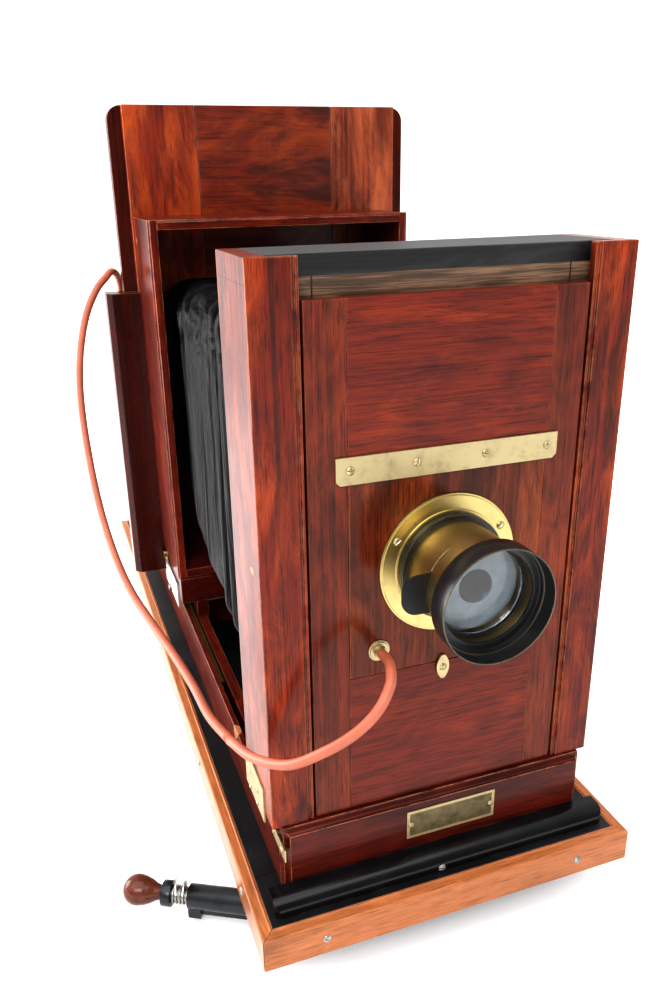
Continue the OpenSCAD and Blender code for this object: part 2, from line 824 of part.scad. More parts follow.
module focus_knob() {
    color([0.10, 0.09, 0.09]) translate([box_w / 2 + 3, shaft_y, shaft_z]) rotate([0, 90, 0])
        difference() {
        union() {
            cylinder(r = 11, h = 8);
            translate([0, 0, 7]) cylinder(r = 23, h = 9);
            translate([0, 0, 15]) cylinder(r = 20, h = 4);
        }
        translate([0, 0, -1]) cylinder(r = shaft_r, h = 21);
        for (i = [0 : 17])
            rotate(i * 20) translate([23.6, 0, 5]) cylinder(r = 1.8, h = 14, $fn = 16);
    }
}

// a brass thumb lever that clamps the carriage to its track
module carriage_clamp() {
    color([0.74, 0.58, 0.24]) translate([-base_x_out, back_y - 12, rear_z - 12]) rotate([0, -90, 0]) {
        cylinder(r = 6, h = 5);
        translate([-3.5, -20, 2.5]) cube([7, 20, 2.5]);
        translate([0, -20, 2.5]) cylinder(r = 5, h = 2.5);
    }
}

// ---- rear box ----

module rear_box_sides() {
    color([0.52, 0.17, 0.08]) both_sides() difference() {
        block([box_w / 2 - wall, rear_y, rear_z], [box_w / 2, back_y, rear_z + rear_h]);
        translate([box_w / 2, rear_y, rear_z - 1]) cylinder(r = 3, h = rear_h + 2);
    }
}

module rear_box_rails() {
    in = box_w / 2 - wall;
    color([0.52, 0.17, 0.08]) difference() {
        union() {
            block([-in, rear_y, rear_z + rear_h - wall], [in, back_y, rear_z + rear_h]);
            block([-in, rear_y, rear_z], [in, back_y, rear_z + wall]);
        }
        along_x([-in - 1, rear_y, rear_z + rear_h], 3, 2 * in + 2);
    }
}

module opening_cut(w, h) {
    block([back_x - w / 2, back_y - 50, plate_z - h / 2],
        [back_x + w / 2, back_y + 200, plate_z + h / 2]);
}

// one grooved rail along Z: the flange of thickness t slides in it, its edge at x = 0
module grooved_rail(z0, z1, t) {
    block([fit, 0, z0], [8, t + 2 * fit + 5, z1]);
    block([-groove_lip, t + 2 * fit, z0], [8, t + 2 * fit + 5, z1]);
}

module back_frame() {
    bevel = 8;
    color([0.26, 0.07, 0.06]) {
        difference() {
            translate([back_x, back_y, wing_z]) linear_extrude(wing_h)
                polygon([[bevel - wing_w / 2, 0], [wing_w / 2 - bevel, 0], [wing_w / 2, bevel],
                    [wing_w / 2, wing_t],
                    [-wing_w / 2, wing_t], [-wing_w / 2, bevel]]);
            opening_cut(opening_w, opening_h);
        }
        // a peg for the spare hose
        along_y([coil_x, coil_y + 16, coil_z + coil_r - hose_d / 2 - peg_r - 0.1], peg_r,
            16 + coil_y - back_y - wing_t);
        // the rails that the riser slides between
        translate([back_x, back_y + wing_t - 0.01, 0]) both_sides() translate([riser_w / 2, 0, 0])
            grooved_rail(wing_z + 15, wing_z + wing_h, riser_t / 2);
    }
}

module crown_boards() {
    cleat = crown_w * 0.25;
    y1 = back_y + crown_front;
    color([0.50, 0.20, 0.10]) translate([back_x, 0, crown_z]) {
        block([cleat - crown_w / 2 + skin / 2, back_y, 0],
            [crown_w / 2 - cleat - skin / 2, y1, crown_h]);
        both_sides() block([crown_w / 2 - cleat + skin / 2, back_y, 0], [crown_w / 2, y1, crown_h]);
    }
}

module crown_backing() {
    depth = wing_t - crown_front;
    color([0.34, 0.12, 0.09]) translate([back_x, back_y + wing_t, crown_z]) rotate([90, 0, 0])
        linear_extrude(depth) {
        translate([-guide_w / 2, 0]) square([guide_w, crown_h - guide_r]);
        translate([guide_r - guide_w / 2, 1]) square([guide_w - 2 * guide_r, crown_h - 1]);
        for (s = [-1, 1])
            translate([s * (guide_w / 2 - guide_r), crown_h - guide_r]) circle(r = guide_r);
    }
}

module riser_frame() {
    body_w = riser_w / 2 - groove_lip - 0.5;
    color([0.40, 0.13, 0.08]) difference() {
        union() {
            block([back_x - riser_w / 2, riser_y, plate_z - riser_h / 2],
                [back_x + riser_w / 2, riser_y + riser_t / 2, plate_z + riser_h / 2]);
            block([back_x - body_w, riser_y, plate_z - riser_h / 2],
                [back_x + body_w, riser_y + riser_t, plate_z + riser_h / 2]);
            // the rails that the shifter slides between
            translate([back_x, riser_y + riser_t - 0.01, plate_z]) for (turn = [0, 180])
                rotate([0, turn, 0]) translate([0, 0, shifter_h / 2]) rotate([0, -90, 0])
                    grooved_rail(-body_w, body_w, shifter_t / 2);
        }
        opening_cut(riser_open_w, riser_open_h);
    }
}

module shifter_frame() {
    body_h = shifter_h / 2 - groove_lip - 0.5;
    half = shifter_w / 2;
    color([0.48, 0.16, 0.09]) difference() {
        union() {
            block([back_x - half, shifter_y, plate_z - shifter_h / 2],
                [back_x + half, shifter_y + shifter_t / 2, plate_z + shifter_h / 2]);
            block([back_x - half, shifter_y, plate_z - body_h],
                [back_x + half, shifter_y + shifter_t, plate_z + body_h]);
            // the rails at either side of the plate holder, and the one that it stands on
            translate([back_x, 0, 0]) both_sides()
                block([half - rail_t, shifter_y + shifter_t - 0.01, plate_z - body_h],
                    [half, glass_y, plate_z + body_h]);
            block([back_x - half, shifter_y + shifter_t - 0.01, plate_z - body_h],
                [back_x + half, glass_y, plate_z - body_h + 8]);
            // the ears of the glass frame's hinge, and their pin
            for (s = [-1, 1])
                translate([back_x + s * (half - 9), 0, 0]) {
                    block([-4, glass_y - 0.01, hinge_z - 5], [4, hinge_y, hinge_z + 5]);
                    along_x([-4, hinge_y, hinge_z], 5, 8);
                }
            along_x([back_x - half + 8, hinge_y, hinge_z], 2, shifter_w - 16);
            // the post of the latch
            block([back_x - half, glass_y - 0.01, latch_z - 3],
                [back_x - half + rail_t, glass_y + fit + frame_t + 0.3, latch_z + 8]);
            block([back_x - half, shifter_y + shifter_t - 0.01, latch_z - 3],
                [back_x - half + rail_t, glass_y, latch_z + 8]);
            along_y([back_x - half + rail_t / 2, glass_y + fit + frame_t + 4.5, latch_z + 3], 2, 5);
        }
        opening_cut(pane_w - 8, pane_h - 8);
    }
}

module glass_frame() {
    half = shifter_w / 2;
    y0 = glass_y + fit;
    top = latch_z - 3.5;
    color([0.52, 0.20, 0.11]) difference() {
        union() {
            block([back_x - half, y0, hinge_z + 6], [back_x + half, y0 + frame_t, top]);
            along_x([back_x - half + 14, hinge_y, hinge_z], 5, shifter_w - 28);
            block([back_x - half + 14, y0 + 1, hinge_z],
                [back_x + half - 14, y0 + frame_t - 1, hinge_z + 7]);
        }
        opening_cut(pane_w - 8, pane_h - 8);
        block([back_x - pane_w / 2, y0 - 1, plate_z - pane_h / 2],
            [back_x + pane_w / 2, y0 + 5, plate_z + pane_h / 2]);
        along_x([back_x - shifter_w, hinge_y, hinge_z], 2 + run, shifter_w * 2);
    }
}

module ground_glass() {
    color([0.80, 0.86, 0.86, 0.6])
        block([back_x - pane_w / 2 + 0.2, glass_y + fit + 1.9, plate_z - pane_h / 2 + 0.2],
        [back_x + pane_w / 2 - 0.2, glass_y + fit + 5, plate_z + pane_h / 2 - 0.2]);
}

// a brass button that turns across the glass frame's top edge
module glass_latch() {
    y = glass_y + fit + frame_t + 0.6;
    color([0.70, 0.58, 0.30]) translate([back_x - shifter_w / 2 + rail_t / 2, y + 2.4, latch_z + 3])
        rotate([90, 0, 0])
        linear_extrude(2.4) difference() {
            union() {
                translate([-4, -4]) square([8, 16]);
                circle(r = 5);
            }
            circle(r = 2 + run);
        }
}

// ---- bellows ----

function fold_y(i) = bellows_y0 + (bellows_y1 - bellows_y0) * i / (2 * folds);
function fold_in(i, inset) = inset + (i % 2 == 0 ? fold_depth : 0);
function low_at(y) = y > base_y0 - 12 ? bellows_rear_low
    : bellows_low + (bellows_rear_low - bellows_low) * (y - bellows_y0) / (base_y0 - 12 - bellows_y0);

// the folded outline seen from above and from the side, inset by a skin
module bellows_plan(inset) {
    polygon(concat([for (i = [0 : 2 * folds]) [bellows_x - fold_in(i, inset), fold_y(i)]],
        [for (i = [2 * folds : -1 : 0]) [fold_in(i, inset) - bellows_x, fold_y(i)]]));
}

module bellows_side(inset) {
    polygon(concat([for (i = [0 : 2 * folds]) [fold_y(i), bellows_top - fold_in(i, inset)]],
        [for (i = [2 * folds : -1 : 0]) [fold_y(i), low_at(fold_y(i)) + fold_in(i, inset)]]));
}

module bellows_body(inset) {
    intersection() {
        translate([0, 0, box_z]) linear_extrude(box_h + 100) bellows_plan(inset);
        translate([-box_w / 2, 0, 0]) rotate([90, 0, 90]) linear_extrude(box_w) bellows_side(inset);
    }
}

module bellows() {
    half = bellows_x - fold_depth - skin_t;
    color([0.06, 0.06, 0.07]) difference() {
        bellows_body(0);
        block([-half, bellows_y0 - 1, bellows_rear_low + fold_depth + skin_t],
            [half, bellows_y1 + 1, bellows_top - fold_depth - skin_t]);
    }
}

// ---- air hose ----

function unit(v) = v / norm(v);
function tangent(p, i) = unit(p[min(i + 1, len(p) - 1)] - p[max(i - 1, 0)]);
function bezier(a, b, c, d, t) = a * pow(1 - t, 3) + b * 3 * pow(1 - t, 2) * t + c * 3 * (1 - t)
    * t * t + d * t * t * t;
function smooth_route(p, n) = [for (i = [0 : len(p) - 2], k = [0 : n - 1])
    let (step = norm(p[i + 1] - p[i]) / 3)
    bezier(p[i], p[i] + tangent(p, i) * step, p[i + 1] - tangent(p, i + 1) * step, p[i + 1], k / n),
    p[len(p) - 1]];

// a closed tube of n sides along the points p; side is a direction that the route never turns towards
module swept_tube(p, d, side, n = 8) {
    last = len(p) - 1;
    rings = [for (i = [0 : last]) let (t = tangent(p, i), u = unit(cross(t, side)), v = cross(t, u))
        for (k = [0 : n - 1]) p[i] + (u * cos(k * 360 / n) + v * sin(k * 360 / n)) * d / 2];
    walls = [for (i = [0 : last - 1], k = [0 : n - 1])
        [i * n + k, i * n + (k + 1) % n, (i + 1) * n + (k + 1) % n, (i + 1) * n + k]];
    polyhedron(points = rings, faces = concat([[for (k = [n - 1 : -1 : 0]) k]], walls,
        [[for (k = [0 : n - 1]) last * n + k]]), convexity = 10);
}

module hose_front() {
    color([0.72, 0.36, 0.28]) swept_tube(smooth_route(hose_route_front, 2), hose_d, [0.6, 0.1, -0.8]);
}

module hose_rear() {
    color([0.72, 0.36, 0.28]) swept_tube(smooth_route(hose_route_rear, 2), hose_d, [-0.9, 0.4, -0.2]);
}

// the spare hose, hung in two turns behind the wide frame
module hose_coil() {
    turn_r = hose_d / 2;
    color([0.72, 0.36, 0.28]) translate([coil_x, coil_y, coil_z]) rotate([90, 0, 0]) rotate_extrude()
        translate([coil_r, 0]) {
            translate([0, -turn_r * 0.95]) circle(r = turn_r, $fn = 24);
            translate([0, turn_r * 0.95]) circle(r = turn_r, $fn = 24);
            square([turn_r, turn_r * 1.9], center = true);
        }
}

module squeeze_bulb() {
    neck_z = bulb_r - 4;
    neck_l = 22;
    tail_l = 68;
    color([0.66, 0.32, 0.25]) translate([bulb_x, bulb_y, bulb_z]) {
        sphere(r = bulb_r);
        translate([0, 0, neck_z]) cylinder(r1 = 12, r2 = 8, h = neck_l);
        translate([0, 0, neck_z + neck_l - 0.01]) cylinder(r = hose_d / 2, h = tail_l);
    }
}

// ---- release handle, drawn along +X from the neck of its knob and then turned into place ----

module in_handle_place() {
    translate([handle_x, handle_y, handle_z]) rotate(-handle_turn) children();
}

module handle_housing() {
    end_x = house_x + house_l;
    bracket_l = 28;
    color([0.07, 0.07, 0.08]) in_handle_place() difference() {
        union() {
            along_x([house_x, 0, 0], house_r, house_l);
            block([house_x, 3 - house_r, -house_r - 8], [house_x + 15, house_r - 3, 0]);
            block([house_x + 14, -7, -house_r - 5], [end_x, 7, -house_r + 1]);
            block([end_x - bracket_l, -house_r, 0], [end_x, house_r, table_top - board_t - handle_z]);
        }
        along_x([house_x - 1, 0, 0], rod_r + run, house_l - 10);
    }
}

// two bright horned plates that stand over the spring
module handle_guards() {
    arc_r = 30;
    color([0.80, 0.80, 0.82]) in_handle_place() for (x = [house_x - 13, house_x - 5])
        translate([x, 0, house_r - 1]) rotate([0, x - house_x + 12, 0]) rotate([90, 0, 90])
            linear_extrude(1.6)
            intersection() {
                translate([-13, -2]) square([26, 30]);
                translate([-arc_r + 13, 0]) circle(r = arc_r);
                translate([arc_r - 13, 0]) circle(r = arc_r);
            }
}

module handle_spring() {
    spring_r = 9.2;
    wire_r = 1.3;
    collar_x = 16.5;
    turns = 5;
    pitch = (house_x - collar_x) / turns;
    color([0.55, 0.53, 0.50]) in_handle_place() difference() {
        union() {
            along_x([collar_x, 0, 0], spring_r - 1, house_x - collar_x);
            for (i = [0 : turns - 1])
                translate([collar_x + (i + 0.5) * pitch, 0, 0]) rotate([0, 90, 0]) rotate_extrude()
                    translate([spring_r, 0]) circle(r = wire_r, $fn = 16);
        }
        along_x([0, 0, 0], spring_r - 2.2, 60);
    }
}

module handle_rod() {
    color([0.12, 0.12, 0.13]) in_handle_place() {
        along_x([-4, 0, 0], rod_r, house_x + house_l - 20);
        along_x([2, 0, 0], 9, 3);
        along_x([5, 0, 0], 14.5, 11.5);
    }
}

// the turned wooden knob, widest near its outer end
module handle_grip() {
    neck_r = 8;
    color([0.35, 0.14, 0.08]) in_handle_place() difference() {
        translate([2 - egg_l, 0, 0]) rotate([0, 90, 0]) rotate_extrude() intersection() {
            square([egg_r + 1, egg_l]);
            union() {
                translate([0, egg_r]) circle(r = egg_r);
                polygon([[0, egg_r], [egg_r, egg_r], [egg_r * 0.98, egg_r + 4],
                    [egg_r * 0.90, egg_r + 10],
                    [egg_r * 0.75, egg_r + 17], [neck_r + 2, egg_l - 6], [neck_r, egg_l], [0, egg_l]]);
            }
        }
        along_x([-4, 0, 0], rod_r, 20);
    }
}

base_plate();
table_bearers();
table_boards();
table_edging();
table_screws();
stop_bar();
bed_sides();
bed_tracks();
focus_racks();
plinth();
brass_plates();
brass_screws();
front_box_sides();
front_box_boards();
panel_rails();
panel_boards();
lens_board();
board_strip();
panel_screws();
turn_button();
lens_flange();
lens_collar();
lens_barrel();
lens_hood();
front_lens();
rear_lens();
waterhouse_stop();
hose_nipple();
shutter_case();
shutter_cylinder();
shutter_piston();
shutter_leaf_left();
shutter_leaf_right();
carriage_base();
side_plates();
focus_shaft();
focus_knob();
carriage_clamp();
rear_box_sides();
rear_box_rails();
back_frame();
crown_boards();
crown_backing();
riser_frame();
shifter_frame();
glass_frame();
ground_glass();
glass_latch();
bellows();
hose_front();
hose_rear();
hose_coil();
squeeze_bulb();
handle_housing();
handle_guards();
handle_spring();
handle_rod();
handle_grip();
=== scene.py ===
import math

import bmesh
import bpy
from mathutils import Matrix, Vector, noise


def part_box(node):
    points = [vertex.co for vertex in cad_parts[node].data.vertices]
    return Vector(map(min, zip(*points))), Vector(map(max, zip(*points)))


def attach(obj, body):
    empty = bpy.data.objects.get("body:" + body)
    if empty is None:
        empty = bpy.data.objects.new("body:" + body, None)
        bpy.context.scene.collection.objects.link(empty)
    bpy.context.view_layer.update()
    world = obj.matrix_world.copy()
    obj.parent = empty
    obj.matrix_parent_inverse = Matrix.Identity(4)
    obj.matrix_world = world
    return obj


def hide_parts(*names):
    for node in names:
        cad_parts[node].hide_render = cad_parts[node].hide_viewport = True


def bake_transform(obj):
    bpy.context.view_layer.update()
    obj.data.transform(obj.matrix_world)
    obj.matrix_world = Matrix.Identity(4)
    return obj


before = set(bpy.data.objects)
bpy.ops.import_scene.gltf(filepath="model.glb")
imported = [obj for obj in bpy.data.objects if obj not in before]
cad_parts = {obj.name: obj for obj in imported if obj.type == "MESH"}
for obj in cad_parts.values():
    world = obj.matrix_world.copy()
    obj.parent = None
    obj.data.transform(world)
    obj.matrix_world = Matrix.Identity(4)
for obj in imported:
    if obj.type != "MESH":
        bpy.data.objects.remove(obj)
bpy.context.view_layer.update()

bl_info = {
    "name": "Studio view camera",
    "version": (1, 0, 0),
    "blender": (4, 5, 0),
    "location": "View3D > Sidebar > View camera",
    "description": "Finishes and soft pieces of a wooden studio view camera on its table",
    "category": "Object",
}

TABLE, PANEL, CARRIAGE = "stand_table", "lens_panel", "focus_carriage"


def middle(node):
    """Centre of a CAD node's box."""
    low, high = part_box(node)
    return (Vector(low) + Vector(high)) / 2


BOX_LOW, BOX_HIGH = (Vector(corner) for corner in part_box("front_box_sides"))
LENS = middle("lens_flange")
CROWN_LOW, CROWN_HIGH = (Vector(corner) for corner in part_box("crown_boards"))


# ---------------------------------------------------------------- sizes and colours

def tone(label, words, value):
    """A colour property, in linear light."""
    return bpy.props.FloatVectorProperty(name=label, description=words, subtype="COLOR", size=3,
                                         min=0, max=1, default=value)


class WoodFinish(bpy.types.PropertyGroup):
    """Colours of the varnished and painted wood."""
    deep: tone("Deep", "Darkest streaks of the mahogany", (0.026, 0.006, 0.005))
    red: tone("Red", "Main colour of the mahogany", (0.150, 0.019, 0.009))
    amber: tone("Amber", "Bright figure of the mahogany", (0.330, 0.058, 0.014))
    worn: tone("Worn edge", "Bare wood at rubbed edges", (0.62, 0.27, 0.13))
    tan: tone("Tan", "Edging of the table", (0.40, 0.150, 0.060))
    black: tone("Black paint", "Paint of table and stop bar", (0.006, 0.006, 0.007))
    grey: tone("Weathered", "Bare board at the top of the front box", (0.21, 0.125, 0.075))


class MetalFinish(bpy.types.PropertyGroup):
    """Colours of the metal parts."""
    brass: tone("Brass", "Aged lacquered brass", (0.53, 0.435, 0.20))
    pale_brass: tone("Pale brass", "Rubbed brass of strip and plates", (0.47, 0.395, 0.235))
    enamel: tone("Enamel", "Black enamel of the lens", (0.012, 0.012, 0.013))
    nickel: tone("Nickel", "Dull nickel plate", (0.62, 0.62, 0.60))
    steel: tone("Steel", "Turned steel", (0.36, 0.35, 0.33))


class HoseSizes(bpy.types.PropertyGroup):
    """The air hose and its bulb."""
    diameter: bpy.props.FloatProperty(name="Diameter", description="Outer diameter of the hose", unit="LENGTH",
                                      default=0.0105, min=0.006, max=0.014)
    turns: bpy.props.IntProperty(name="Turns", description="Turns of the spare hose behind the back", default=2,
                                 min=1, max=4)
    rubber: tone("Rubber", "Colour of the rubber", (0.37, 0.110, 0.066))


class BellowsSizes(bpy.types.PropertyGroup):
    """The folded leather."""
    folds: bpy.props.IntProperty(name="Folds", description="Number of folds next to the front box", default=5,
                                 min=2, max=9)
    depth: bpy.props.FloatProperty(name="Fold depth", description="Depth of each fold", unit="LENGTH",
                                   default=0.011, min=0.003, max=0.02)
    slack: bpy.props.FloatProperty(name="Slack", description="How much the soft skin is creased", unit="LENGTH",
                                   default=0.006, min=0, max=0.01)
    leather: tone("Leather", "Colour of the leather", (0.0028, 0.0031, 0.0035))


class StudioLight(bpy.types.PropertyGroup):
    """Floor, lights and sky."""
    sky: bpy.props.FloatProperty(name="Surroundings", description="Strength of the white surroundings behind",
                                 default=1.0, min=0, max=4)
    room: bpy.props.FloatProperty(name="Room", description="Strength of the surroundings in front", default=0.22,
                                  min=0, max=4)
    key: bpy.props.FloatProperty(name="Key", description="Power of the main light", default=34, min=0, max=500,
                                 unit="POWER")
    ceiling: bpy.props.FloatProperty(name="Ceiling", description="Strength of the soft light from above", default=2.2,
                                     min=0, max=20)


GROUPS = {"camera_wood": WoodFinish, "camera_metal": MetalFinish, "camera_hose": HoseSizes,
          "camera_bellows": BellowsSizes, "camera_light": StudioLight}


# ---------------------------------------------------------------- materials

class Socket:
    """One value in a material, with arithmetic that adds Math nodes."""

    def __init__(self, sheet, socket):
        self.sheet = sheet
        self.socket = socket

    def math(self, operation, *values):
        return self.sheet.node("ShaderNodeMath", {"operation": operation}, values)

    def __add__(self, other):
        return self.math("ADD", self, other)

    def __sub__(self, other):
        return self.math("SUBTRACT", self, other)

    def __rsub__(self, other):
        return self.math("SUBTRACT", other, self)

    def __mul__(self, other):
        return self.math("MULTIPLY", self, other)

    def __pow__(self, other):
        return self.math("POWER", self, other)

    def __gt__(self, other):
        return self.math("GREATER_THAN", self, other)

    def __lt__(self, other):
        return self.math("LESS_THAN", self, other)

    __radd__ = __add__
    __rmul__ = __mul__

    def size(self):
        return self.math("ABSOLUTE", self)

    def spread(self, low, high):
        """0 below low, 1 above high, smooth between."""
        return self.sheet.node("ShaderNodeMapRange", {"interpolation_type": "SMOOTHSTEP"},
                               {"Value": self, "From Min": low, "From Max": high})


class Finish:
    """A material in the making."""

    def __init__(self, name):
        self.material = bpy.data.materials.new(name)
        self.material.use_nodes = True
        self.tree = self.material.node_tree
        self.tree.nodes.clear()
        place = self.node("ShaderNodeTexCoord", output="Object")
        self.place = place

    def node(self, kind, settings=None, inputs=None, output=0):
        """Adds a node, sets it up, fills its sockets and gives one of its outputs."""
        new = self.tree.nodes.new(kind)
        for key, value in (settings or {}).items():
            if key == "stops":
                self.fill_ramp(new.color_ramp, value)
            else:
                setattr(new, key, value)
        pairs = inputs.items() if isinstance(inputs, dict) else enumerate(inputs or ())
        for key, value in pairs:
            if isinstance(value, Socket):
                self.tree.links.new(value.socket, new.inputs[key])
            elif value is not None:
                new.inputs[key].default_value = value
        return Socket(self, new.outputs[output]) if new.outputs else new

    @staticmethod
    def fill_ramp(ramp, stops):
        while len(ramp.elements) < len(stops):
            ramp.elements.new(0.5)
        for element, (position, grey) in zip(ramp.elements, stops):
            element.position = position
            element.color = (grey, grey, grey, 1)

    def axis(self, letter):
        return self.node("ShaderNodeSeparateXYZ", None, {"Vector": self.place}, letter)

    def stretched(self, scale, shift=(0, 0, 0)):
        return self.node("ShaderNodeMapping", None, {"Vector": self.place, "Scale": scale, "Location": shift})

    def noise(self, scale, detail=4.0, rough=0.55, where=None, bend=0.0):
        return self.node("ShaderNodeTexNoise", None, {"Vector": where or self.place, "Scale": scale,
                         "Detail": detail, "Roughness": rough, "Distortion": bend})

    def mix(self, factor, first, second):
        return self.node("ShaderNodeMix", {"data_type": "RGBA", "blend_type": "MIX"},
                         {0: factor, 6: self.colour(first), 7: self.colour(second)}, 2)

    @staticmethod
    def colour(value):
        return value if isinstance(value, Socket) else (*value, 1)

    def edge(self, radius=0.0022):
        """1 on sharp outer edges, 0 on flat faces."""
        soft = self.node("ShaderNodeBevel", {"samples": 4}, {"Radius": radius})
        true = self.node("ShaderNodeNewGeometry", output="True Normal")
        same = self.node("ShaderNodeVectorMath", {"operation": "DOT_PRODUCT"}, [soft, true], "Value")
        return (1 - same).spread(0.02, 0.22)

    def bump(self, height, strength, distance=0.001):
        return self.node("ShaderNodeBump", None, {"Height": height, "Strength": strength, "Distance": distance})

    def finish(self, **inputs):
        """Closes the material with a Principled shader; the inputs' underscores stand for spaces."""
        shader = self.node("ShaderNodeBsdfPrincipled", None,
                           {key.replace("_", " "): self.colour(value) if key == "Base_Color" else value
                            for key, value in inputs.items()})
        self.node("ShaderNodeOutputMaterial", None, {"Surface": shader})
        return self.material


def looks(name):
    return getattr(bpy.context.scene, name)


def shade(colour, factor):
    return tuple(min(1.0, part * factor) for part in colour)


def grain_scale(run, along, across):
    """Scale of a pattern that runs along one axis."""
    return tuple(along if letter == run else across for letter in "XYZ")


def grain(finish, run, bend=0.5):
    """Streaks, fine pores, broad figure and smoky stains of a board whose grain runs along one axis.
    Upright boards have longer, wider streaks than level ones."""
    swirl = finish.noise(1.0, 2, 0.5, finish.stretched(grain_scale(run, 2.2, 7), (2, 4, 1)), 0.4) * 120
    rings = swirl.math("SINE", swirl) * 0.5 + 0.5
    long_run, across, detail = (1.8, 190, 4) if run == "Z" else (11, 400, 5)
    streaks = finish.noise(1.0, detail, 0.55, finish.stretched(grain_scale(run, long_run, across)), bend) * 0.92
    streaks += rings * 0.08
    lines = finish.noise(1.0, 3, 0.7, finish.stretched(grain_scale(run, 26, 800)))
    figure = finish.noise(1.0, 6, 0.66, finish.stretched(grain_scale(run, 7, 22), (3, 1, 2)), 1.0)
    smoke = finish.noise(1.0, 6, 0.66, finish.stretched(grain_scale(run, 4.2, 12), (7, 5, 9)), 0.6)
    return streaks, lines, figure, smoke


def varnished(name, run, amber=0.5, depth=1.0, wear=0.8, rough=0.30, colours=None, second_run=None, where=None,
              smoky=0.7, marks=None):
    """Varnished mahogany. amber is the share of bright figure, depth darkens it, smoky is the strength of dark
    stains, and where the mask is set the grain runs along second_run instead. marks may darken its own lines."""
    finish = Finish(name)
    wood = looks("camera_wood")
    deep, red, bright = colours or (wood.deep, wood.red, wood.amber)
    streaks, lines, figure, smoke = grain(finish, run)
    if second_run:
        mask = where(finish)
        others = grain(finish, second_run)
        streaks, lines, figure, smoke = (mask * b + (1 - mask) * a
                                         for a, b in zip((streaks, lines, figure, smoke), others))
    base = finish.mix(streaks.spread(0.26, 0.68) * 0.85 + 0.15, shade(deep, 1.5 * depth), shade(red, depth))
    base = finish.mix(figure.spread(0.64 - 0.3 * amber, 0.90 - 0.25 * amber) * (0.25 + 0.65 * amber), base,
                      shade(bright, depth))
    base = finish.mix(smoke.spread(0.50, 0.72) * smoky, base, shade(deep, 0.9 * depth))
    pores = lines.spread(0.50, 0.66) * 0.6
    base = finish.mix(pores, base, shade(deep, 0.45))
    if marks:
        base = finish.mix(marks(finish), base, shade(deep, 0.35))
    rubbed = finish.noise(38, 5, 0.7)
    bare = finish.edge() * rubbed.spread(0.36, 0.58) * wear
    base = finish.mix(bare, base, tuple(wood.worn))
    if wear > 0.75:
        chips = finish.noise(16, 2, 0.5).spread(0.735, 0.745) * 0.8
        base = finish.mix(chips, base, shade(wood.worn, 0.75))
    dents = finish.noise(150, 3, 0.5)
    height = lines * -0.6 + dents * 0.2
    return finish.finish(Base_Color=base, Roughness=rubbed * 0.22 + (rough - 0.08) + bare * 0.2,
                         Normal=finish.bump(height, 0.25, 0.0006), Coat_Weight=0.42, Coat_Roughness=0.17,
                         Specular_IOR_Level=0.05)


def painted_black(name, rough, wear, dust=0.0, run="X"):
    """Black paint over wood, with scratches, dust and worn edges."""
    finish = Finish(name)
    wood = looks("camera_wood")
    scratch = finish.noise(1.0, 6, 0.75, finish.stretched(grain_scale(run, 3.5, 120)), 0.8)
    cloud = finish.noise(9, 5, 0.62)
    base = finish.mix(cloud.spread(0.42, 0.75) * dust, tuple(wood.black), (0.026, 0.028, 0.031))
    bare = finish.edge(0.0018) * cloud.spread(0.46, 0.60) * wear
    base = finish.mix(bare, base, (0.16, 0.11, 0.08))
    marks = scratch.spread(0.66, 0.74) * 0.6 * dust
    base = finish.mix(marks, base, (0.12, 0.12, 0.125))
    return finish.finish(Base_Color=base, Roughness=cloud * 0.25 + (rough - 0.1),
                         Normal=finish.bump(cloud * 0.6 + scratch * 0.4, 0.2, 0.0007), Specular_IOR_Level=0.35)


def aged_brass(name, colour, rough=0.34, tarnish=0.5, brushed=None):
    """Brass with lacquer stains and fine marks."""
    finish = Finish(name)
    stain = finish.noise(55, 5, 0.65)
    spots = finish.noise(260, 3, 0.6)
    base = finish.mix(stain.spread(0.48, 0.78) * tarnish, colour, shade(colour, 0.42))
    base = finish.mix(spots.spread(0.66, 0.74) * tarnish * 0.8, base, shade(colour, 0.22))
    height = finish.noise(1.0, 3, 0.6, finish.stretched(brushed)) if brushed else spots
    return finish.finish(Base_Color=base, Metallic=1.0, Roughness=stain * 0.25 + (rough - 0.10),
                         Normal=finish.bump(height, 0.12, 0.0003))


def from_axis(finish):
    """Distance from the axis of the lens."""
    across = finish.axis("X") - LENS.x
    up = finish.axis("Z") - LENS.z
    return (across * across + up * up) ** 0.5


def worn_enamel(name, wear=0.9, rough=0.28, beyond=0.0):
    """Black enamel that is rubbed through to the brass at its edges, beyond a distance from the lens's axis."""
    finish = Finish(name)
    metal = looks("camera_metal")
    patch = finish.noise(85, 5, 0.7)
    bare = finish.edge(0.0016) * patch.spread(0.30, 0.52) * wear * (from_axis(finish) > beyond)
    base = finish.mix(bare, tuple(metal.enamel), shade(metal.brass, 0.7))
    return finish.finish(Base_Color=base, Metallic=bare, Roughness=patch * 0.22 + (rough - 0.08),
                         Normal=finish.bump(patch, 0.06, 0.0004), Specular_IOR_Level=0.6)


def plain_metal(name, colour, rough=0.35, dirt=0.3, metallic=1.0):
    """Plain metal with some dirt in its pattern."""
    finish = Finish(name)
    cloud = finish.noise(70, 5, 0.65)
    base = finish.mix(cloud.spread(0.45, 0.75) * dirt, colour, shade(colour, 0.35))
    return finish.finish(Base_Color=base, Metallic=metallic, Roughness=cloud * 0.28 + (rough - 0.12),
                         Normal=finish.bump(cloud, 0.08, 0.0004))


